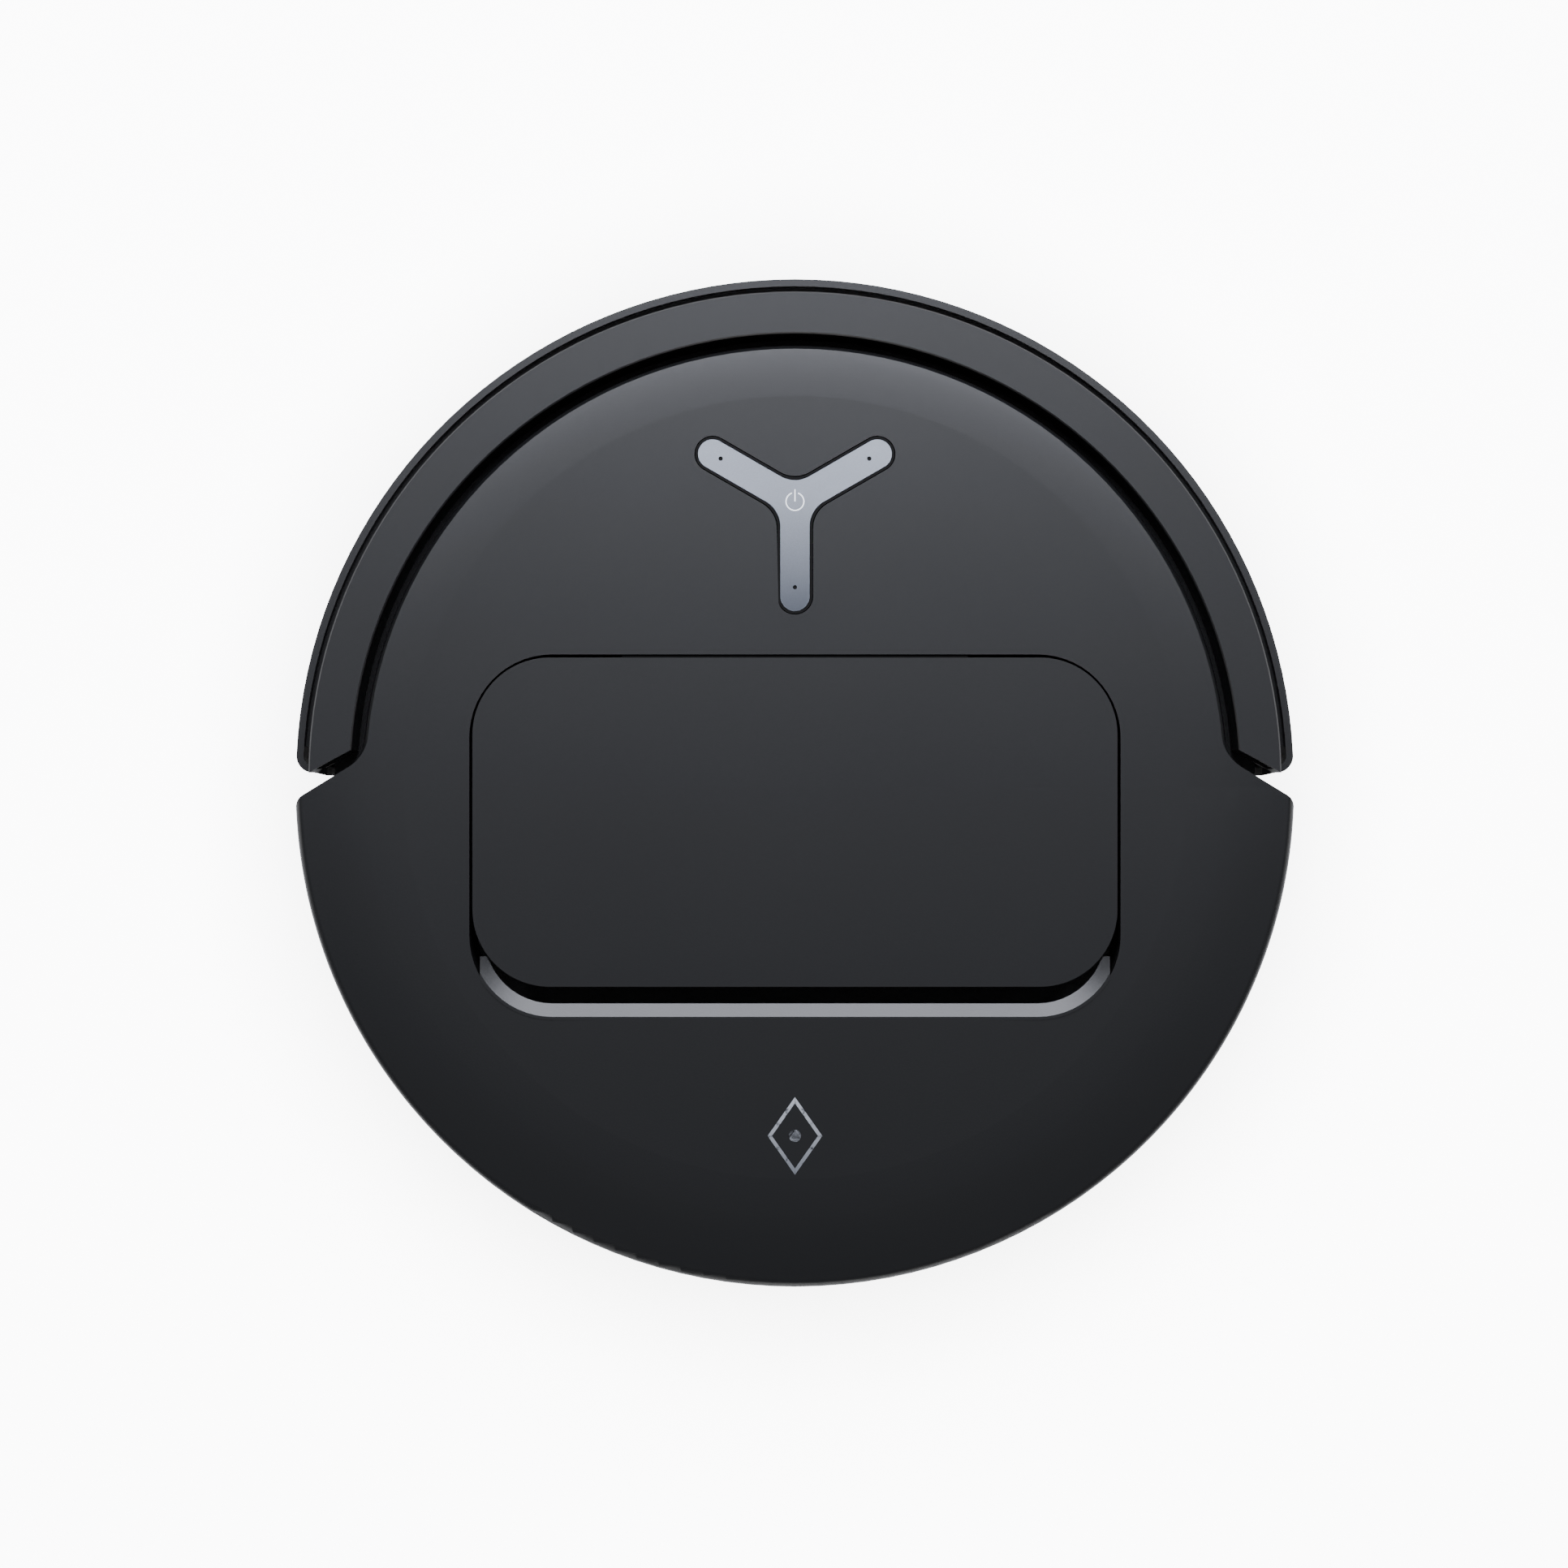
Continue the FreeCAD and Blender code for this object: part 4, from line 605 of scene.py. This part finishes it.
# %% Nylon tufts between the fins
def strands(root, tip, thick, sides=5, rows=4, bow=None):
    """Tapered closed strands from root to tip (n, 3); bow moves the middle aside (n, 3)."""
    along = np.linspace(0, 1, rows)[None, :, None]
    line = root[:, None] * (1 - along) + tip[:, None] * along
    if bow is not None:
        line = line + bow[:, None] * (4 * along * (1 - along))
    direction = tip - root
    direction /= np.linalg.norm(direction, axis=1, keepdims=True)
    spare = np.where(np.abs(direction[:, 2:]) > 0.8, np.array([[1.0, 0, 0]]), np.array([[0, 0, 1.0]]))
    u = np.cross(direction, spare)
    u /= np.linalg.norm(u, axis=1, keepdims=True)
    v = np.cross(direction, u)
    turn = 2 * np.pi * np.arange(sides) / sides
    ring = u[:, None] * np.cos(turn)[None, :, None] + v[:, None] * np.sin(turn)[None, :, None]
    width = thick * (1 - 0.55 * along[0, :, 0] ** 2)
    return line[:, :, None] + ring[:, None] * width[None, :, None, None]


def make_tufts(seed=4):
    """Three V rows of splayed strands: roots on the core, tips near the reach."""
    rng = np.random.default_rng(seed)
    per_row, per_tuft = 44, 7
    x = np.linspace(-BRUSH_HALF + 3 * MM, BRUSH_HALF - 3 * MM, per_row)[None, :, None]
    start = np.radians(90 + 120 * np.arange(3))[:, None, None]
    angle = np.broadcast_to(start + brush_turn(x), (3, per_row, per_tuft))
    x = np.broadcast_to(x, angle.shape)
    splay = rng.normal(0, 1, (4,) + angle.shape)
    root = around_brush(x + 0.35 * MM * splay[0], BRUSH_CORE - 1 * MM, angle + 0.03 * splay[1])
    reach = BRUSH_REACH - 0.4 * MM - 0.5 * MM * np.abs(splay[2])
    tip = around_brush(x + 1.1 * MM * splay[2], reach, angle + 0.05 * splay[3])
    return tubes(strands(root.reshape(-1, 3), tip.reshape(-1, 3), 0.16 * MM, sides=4, rows=3))


tufts = mesh_object("brush_tufts_nylon", *make_tufts(), "main_brush", "bristle")
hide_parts("main_brush_fins")
print("tuft faces:", len(tufts.data.polygons))

# %% [markdown]
# ## The side brush
# Two flat rubber arms each hold a bundle of stiff nylon strands that fan out and droop
# until their tips sweep the floor. The frame has one flat block for each bundle; here
# each bundle is a few dozen strands with their own length, droop and spread.

# %% Side brush bundles
hub_low, hub_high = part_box("side_brush_hub")
tuft_low, tuft_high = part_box("side_brush_bristles")
SPIN_X = (tuft_low.x + tuft_high.x) / 2
SPIN_Y = (tuft_low.y + tuft_high.y) / 2
TIP_REACH = math.hypot(tuft_high.x - tuft_low.x, tuft_high.y - tuft_low.y) / 2
ROOT_REACH = math.hypot(hub_high.x - hub_low.x, hub_high.y - hub_low.y) / 2 - 3 * MM
LAY = math.atan2(tuft_high.y - tuft_low.y, tuft_low.x - tuft_high.x)


def make_side_bundles(seed=7):
    """Strand roots packed in a flat oval at the arm's end; tips on an arc near the floor."""
    rng = np.random.default_rng(seed)
    count = 90
    across = rng.uniform(-1, 1, count)
    spread = across + rng.normal(0, 0.12, count)
    length = TIP_REACH - 1.0 * MM - 1.5 * MM * rng.random(count)
    bundles = []
    for turn in (0.0, math.pi):
        heading = LAY + turn
        ahead = np.array([math.cos(heading), math.sin(heading), 0.0])
        aside = np.array([-math.sin(heading), math.cos(heading), 0.0])
        root = (ahead * (ROOT_REACH - 2 * MM) + np.outer(across * 1.9 * MM, aside)
                + np.outer(rng.uniform(5.6, 8.6, count) * MM, (0, 0, 1)))
        fan = spread * math.radians(9)
        tip = (np.outer(length * np.cos(fan), ahead) + np.outer(length * np.sin(fan), aside)
               + np.outer(rng.uniform(3.1, 4.6, count) * MM, (0, 0, 1)))
        bow = np.outer(rng.uniform(0.1, 0.5, count) * MM, (0, 0, 1))
        centre = np.array([SPIN_X, SPIN_Y, 0.0])
        bundles.append(strands(root + centre, tip + centre, 0.22 * MM, sides=5, rows=7, bow=bow))
    return tubes(np.concatenate(bundles))


bundles = mesh_object("side_brush_strands", *make_side_bundles(), "side_brush", "bristle")
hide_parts("side_brush_bristles")
print("side brush lies at degrees:", round(math.degrees(LAY), 1), " reach mm:", round(TIP_REACH / MM, 1))

# %% [markdown]
# ## The mop roller
# The roller wears a knitted sleeve with a dense microfibre pile, cut in bands that wind
# round it. Hair particles would not export, so the sleeve is a soft base surface and
# several thousand short leaning tufts, each of a few faces, set on a spiral so that no
# two stand in a row.

# %% Mop roller
sleeve_low, sleeve_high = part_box("mop_roller_sleeve")
MOP_Y = (sleeve_low.y + sleeve_high.y) / 2
MOP_Z = (sleeve_low.z + sleeve_high.z) / 2
MOP_R = (sleeve_high.z - sleeve_low.z) / 2
MOP_HALF = sleeve_high.x


def around_mop(x, radius, angle):
    """Points at radius and angle about the mop roller's axle, at x along it."""
    x, radius, angle = np.broadcast_arrays(x, radius, angle)
    return np.stack([x, MOP_Y + radius * np.cos(angle), MOP_Z + radius * np.sin(angle)], -1)


def band(x, angle):
    """Two helical grooves: 1 on the pile, falling to 0 in a groove."""
    phase = 2 * angle + x * (2 * np.pi / (45 * MM))
    return 1 - np.exp(-((np.cos(phase / 2) / 0.16) ** 2))


def make_sleeve():
    """Base radius plus bands plus a small lumpy wave; the ends close down to the core."""
    x = np.linspace(-MOP_HALF, MOP_HALF, 150)[:, None]
    angle = np.linspace(0, 2 * np.pi, 120, endpoint=False)[None, :]
    end = np.clip((MOP_HALF - np.abs(x)) / (2.5 * MM), 0, 1)
    lumps = 0.18 * MM * np.sin(37 * angle + 900 * x) * np.sin(23 * angle - 1300 * x)
    radius = MOP_R - 2.6 * MM + 1.0 * MM * band(x, angle) + lumps
    radius = radius - 3.0 * MM * (1 - np.sqrt(1 - (1 - end) ** 2))
    return tubes(around_mop(x, radius, angle)[None, :, ::-1])


sleeve = mesh_object("mop_sleeve_knit", *make_sleeve(), "mop_roller", "mop_fabric")


def make_pile(seed=11):
    """Short tufts on a golden-angle spiral, leaning one way, thinned out in the grooves."""
    rng = np.random.default_rng(seed)
    count = 9000
    k = np.arange(count)
    x = -MOP_HALF + 2 * MM + (2 * MOP_HALF - 4 * MM) * (k + 0.5) / count
    angle = k * math.pi * (3 - math.sqrt(5))
    keep = band(x, angle) > 0.55
    x, angle = x[keep], angle[keep]
    lean = 0.05 + 0.05 * rng.normal(0, 1, x.size)
    height = MOP_R - 0.15 * MM - 0.5 * MM * rng.random(x.size)
    root = around_mop(x, MOP_R - 2.4 * MM, angle)
    tip = around_mop(x + 0.5 * MM * rng.normal(0, 1, x.size), height, angle + lean)
    return tubes(strands(root, tip, 0.62 * MM, sides=5, rows=3))


pile = mesh_object("mop_pile_tufts", *make_pile(), "mop_roller", "mop_fabric")
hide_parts("mop_roller_sleeve")
print("pile faces:", len(pile.data.polygons))

# %% [markdown]
# ## Bumper springs and pleated filter
# Two compression springs push the bumper out. Each is a round wire carried along a helix,
# with closed end coils. The filter is one sheet of paper felt folded into pleats.

# %% Springs
spring_low, spring_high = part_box("bumper_springs")
SPRING_R = (spring_high.z - spring_low.z) / 2
SPRING_Z = (spring_high.z + spring_low.z) / 2
WIRE_R = 0.35 * MM


def make_springs():
    """Helix (x, y, z) = (R cos t, pitch t, R sin t) with a wire ring carried along it."""
    turns = np.linspace(0, 2 * np.pi * 6.5, 260)
    share = turns / turns[-1]
    length = spring_high.y - spring_low.y - 2 * WIRE_R
    y = spring_low.y + WIRE_R + length * (share - 0.06 * np.sin(2 * np.pi * share))
    ring = 2 * np.pi * np.arange(8) / 8
    radius = SPRING_R - WIRE_R
    outward = np.stack([np.cos(turns), 0 * turns, np.sin(turns)], -1)
    ahead = np.array([0.0, 1.0, 0.0])
    both = []
    for side in (-1, 1):
        centre = np.array([side * (spring_high.x - SPRING_R), 0.0, SPRING_Z])
        line = centre + radius * outward + np.stack([0 * y, y, 0 * y], -1)
        section = (np.cos(ring)[None, :, None] * outward[:, None]
                   + np.sin(ring)[None, :, None] * ahead)
        both.append(line[:, None] + WIRE_R * section)
    return tubes(np.stack(both))


springs = mesh_object("bumper_coil_springs", *make_springs(), "root", "steel")
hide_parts("bumper_springs")
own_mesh(springs)

# %% Pleated filter
filter_low, filter_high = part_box("bin_filter")


def make_filter():
    """A triangle wave in plan, given thickness: one closed section carried up in z."""
    folds = 34
    thick = 0.25 * MM
    x = np.linspace(filter_low.x, filter_high.x, 2 * folds + 1)
    middle = (filter_low.y + filter_high.y) / 2
    depth = (filter_high.y - filter_low.y) / 2 - 2 * thick
    y = middle + depth * np.where(np.arange(x.size) % 2 == 0, -1, 1)
    loop = np.concatenate([np.stack([x, y - thick], -1), np.stack([x, y + thick], -1)[::-1]])
    z = np.linspace(filter_low.z, filter_high.z, 3)
    points = np.concatenate([np.broadcast_to(loop, (3,) + loop.shape),
                             np.broadcast_to(z[:, None, None], (3, len(loop), 1))], -1)
    half = x.size
    side = grid_faces(3, 2 * half).tolist()
    i = np.arange(half - 1)
    bottom = np.stack([2 * half - 1 - i, 2 * half - 2 - i, i + 1, i], -1)
    top = (bottom[:, ::-1] + 2 * 2 * half).tolist()
    return points, side + bottom.tolist() + top


pleats = mesh_object("bin_filter_pleats", *make_filter(), "bin", "filter_paper", smooth=False)
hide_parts("bin_filter")
print("pleat faces:", len(pleats.data.polygons))

# %% [markdown]
# ## Microphone gauze
# A pinhole near the end of each arm of the key lets a microphone listen. From above the
# hole looks black. Here a gauze closes it a little way down, finished near black as painted
# shade for the inside of the pinhole. Each gauze is a shallow dish of rings, so that it never
# shows a flat, lit floor.

# %% Gauze discs in the key's pinholes
KEY_WIDE = (key_high.x - key_low.x) / 2
KEY_LONG = key_high.y - key_low.y
ARM = (2 * KEY_WIDE - KEY_LONG) / (math.sqrt(3) - 1.5)
ARM_HALF = KEY_WIDE - ARM * math.sqrt(3) / 2
MIC_FROM_END = 3.2 * MM
MIC_REACH = ARM - MIC_FROM_END
GAUZE_R = 0.85 * MM
GAUZE_DEEP = 0.15 * MM
GAUZE_DISH = 0.1 * MM
GAUZE_THICK = 0.3 * MM
CROWN_R, CROWN_Y = 9000 * MM, -2.3 * MM
lid_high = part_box("bin_lid")[1]


def make_shade_gauze():
    """Three dishes, each -GAUZE_DISH (1 - (r / R)^2) deep, a little below the crown, which is
    a sphere of radius CROWN_R; the same dish again, lower, closes each from below."""
    centre_y = key_low.y + ARM + ARM_HALF
    heading = np.radians(-90 + 120 * np.arange(3))
    share = np.array([0.02, 0.35, 0.7, 1.0, 1.0, 0.7, 0.35, 0.02])
    sag = -GAUZE_DISH * (1 - share ** 2)
    sag[4:] -= GAUZE_THICK
    around = 2 * np.pi * np.arange(20) / 20
    mic_x = MIC_REACH * np.cos(heading)[:, None, None]
    mic_y = centre_y + MIC_REACH * np.sin(heading)[:, None, None]
    x = mic_x + GAUZE_R * share[None, :, None] * np.cos(around)
    y = mic_y + GAUZE_R * share[None, :, None] * np.sin(around)
    crown = lid_high.z - (mic_x ** 2 + (mic_y - CROWN_Y) ** 2) / (2 * CROWN_R)
    z = np.broadcast_to(crown - GAUZE_DEEP + sag[None, :, None], x.shape)
    return tubes(np.stack([x, y, z], -1)[:, ::-1])


# Finished near black: painted shade inside each pinhole.
pinhole_shade_gauze = mesh_object("key_mic_shade_gauze", *make_shade_gauze(), "key", "bezel_plastic")
print("key arm mm:", round(ARM / MM, 2), " half width mm:", round(ARM_HALF / MM, 2))

# %% [markdown]
# ## Ends of the bumper's lip
# Along its lower edge the bumper has an inward lip that hides the floor between it and the
# casing. The frame's lip stops short of the slanted ends, which leaves a pinhole of
# daylight. A short curved plate carries it on to each end, and moves with the bumper.

# %% Lip ends
shell_low, shell_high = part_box("bumper_shell")
FRONT_Y = shell_high.y - shell_high.x
LIP_OUT = shell_high.x - 2.2 * MM
LIP_IN = LIP_OUT - 6.6 * MM
LIP_THICK = 1.9 * MM
LIP_FROM, LIP_TO = 0.75, 3.2


def make_lip_ends():
    """A flat section (radius, height) carried round an arc, LIP_FROM to LIP_TO degrees."""
    section_r = np.array([LIP_IN, LIP_OUT, LIP_OUT, LIP_IN])
    section_z = shell_low.z + np.array([0.0, 0.0, 1.0, 1.0]) * LIP_THICK
    turn = np.radians(np.linspace(LIP_FROM, LIP_TO, 9))[:, None]
    right = np.stack(np.broadcast_arrays(
        section_r * np.cos(turn), FRONT_Y + section_r * np.sin(turn), section_z), -1)
    left = right[::-1] * np.array([-1.0, 1.0, 1.0])
    return tubes(np.stack([right, left]))


lip_ends = mesh_object("bumper_lip_ends", *make_lip_ends(), "bumper", "bumper_plastic", smooth=False)
print("lip ends inside radius mm:", round(LIP_OUT / MM, 1))

# %% [markdown]
# ## Floor, light and camera
# A dark, matt object on a white sweep: the floor glows faintly so that it stays white
# without flooding the object, one large softbox hangs over the front, and low side lights
# draw the walls. The softbox decides the look: the nearly flat cover mirrors a soft patch
# of it towards the viewer at the front edge and less and less towards the rear.

# %% Floor
def make_floor():
    """A wide pale floor at z = 0, not part of the object, clear to a viewer under it.

    The Ambient Occlusion node dims its glow where the machine stands close over it: a painted contact shadow."""
    reach = 12.0
    corner = np.array([[-1, -1, 0], [1, -1, 0], [1, 1, 0], [-1, 1, 0]]) * reach
    mesh = bpy.data.meshes.new("studio_floor")
    mesh.from_pydata(corner.tolist(), [], [(0, 1, 2, 3)])
    floor = bpy.data.objects.new("studio_floor", mesh)
    bpy.context.scene.collection.objects.link(floor)
    material, tree, shader, place = start_finish("studio_floor")
    paper = noise(tree, place, 3.0, 2.0)
    tree.links.new(mix_colour(tree, paper, (0.80, 0.80, 0.80, 1.0), (0.84, 0.84, 0.84, 1.0)),
                   shader.inputs["Base Color"])
    shader.inputs["Roughness"].default_value = 0.9
    shader.inputs["Specular IOR Level"].default_value = 0.1
    shader.inputs["Emission Color"].default_value = (1.0, 1.0, 1.0, 1.0)
    seen = tree.nodes.new("ShaderNodeLightPath").outputs["Is Camera Ray"]
    # Painted contact shadow: ambient occlusion dims the floor's glow near the machine.
    painted_contact_shadow = add_node(tree, "ShaderNodeAmbientOcclusion", samples=8, inputs={"Distance": 0.06})
    glow_with_painted_shadow = maths(tree, "MULTIPLY", remap(tree, seen, 0.0, 1.0, 1.0, 10.0), painted_contact_shadow.outputs["AO"])
    tree.links.new(glow_with_painted_shadow, shader.inputs["Emission Strength"])
    below = tree.nodes.new("ShaderNodeNewGeometry").outputs["Backfacing"]
    clear = tree.nodes.new("ShaderNodeBsdfTransparent")
    sided = add_node(tree, "ShaderNodeMixShader", inputs={
        0: below, 1: shader.outputs["BSDF"], 2: clear.outputs["BSDF"]})
    output = next(node for node in tree.nodes if node.type == "OUTPUT_MATERIAL")
    tree.links.new(sided.outputs[0], output.inputs["Surface"])
    mesh.materials.append(material)


make_floor()


# %% Lights
def softbox(name, place, target, size, power, tint=(1.0, 1.0, 1.0)):
    """A rectangular area light at place, turned to face target; power in watts."""
    data = bpy.data.lights.new(name, "AREA")
    data.shape = "RECTANGLE"
    data.size, data.size_y = size
    data.energy = power
    data.color = tint
    light = bpy.data.objects.new(name, data)
    light.location = place
    aim = np.array(target) - np.array(place)
    flat = math.hypot(aim[0], aim[1])
    light.rotation_euler = (math.atan2(flat, -aim[2]), 0.0, math.atan2(aim[1], aim[0]) - math.pi / 2)
    bpy.context.scene.collection.objects.link(light)


softbox("front_softbox", (0.0, 1.15, 1.75), (0.0, 0.12, 0.05), (1.8, 0.9), 87,
        tint=(0.93, 0.955, 1.05))
softbox("left_strip", (-2.2, 0.1, 0.45), (0.0, 0.0, 0.05), (1.0, 0.5), 6)
softbox("right_strip", (2.2, 0.1, 0.45), (0.0, 0.0, 0.05), (1.0, 0.5), 6)
softbox("rear_strip", (0.0, -2.2, 0.45), (0.0, 0.0, 0.05), (1.4, 0.4), 10)

world = bpy.data.worlds.new("studio")
world.use_nodes = True
world.node_tree.nodes["Background"].inputs["Color"].default_value = (0.96, 0.95, 1.0, 1.0)
world.node_tree.nodes["Background"].inputs["Strength"].default_value = 0.17
bpy.context.scene.world = world

# %% Camera
# Straight above, front of the machine at the top of the frame.
CAMERA_PLACE = (-0.0038, -0.0011, 1.348)
camera_data = bpy.data.cameras.new("top_camera")
camera_data.lens = 82.7
camera_data.sensor_width = 36.0
camera = bpy.data.objects.new("top_camera", camera_data)
camera.location = CAMERA_PLACE
bpy.context.scene.collection.objects.link(camera)
bpy.context.scene.camera = camera
print("camera height m:", CAMERA_PLACE[2])
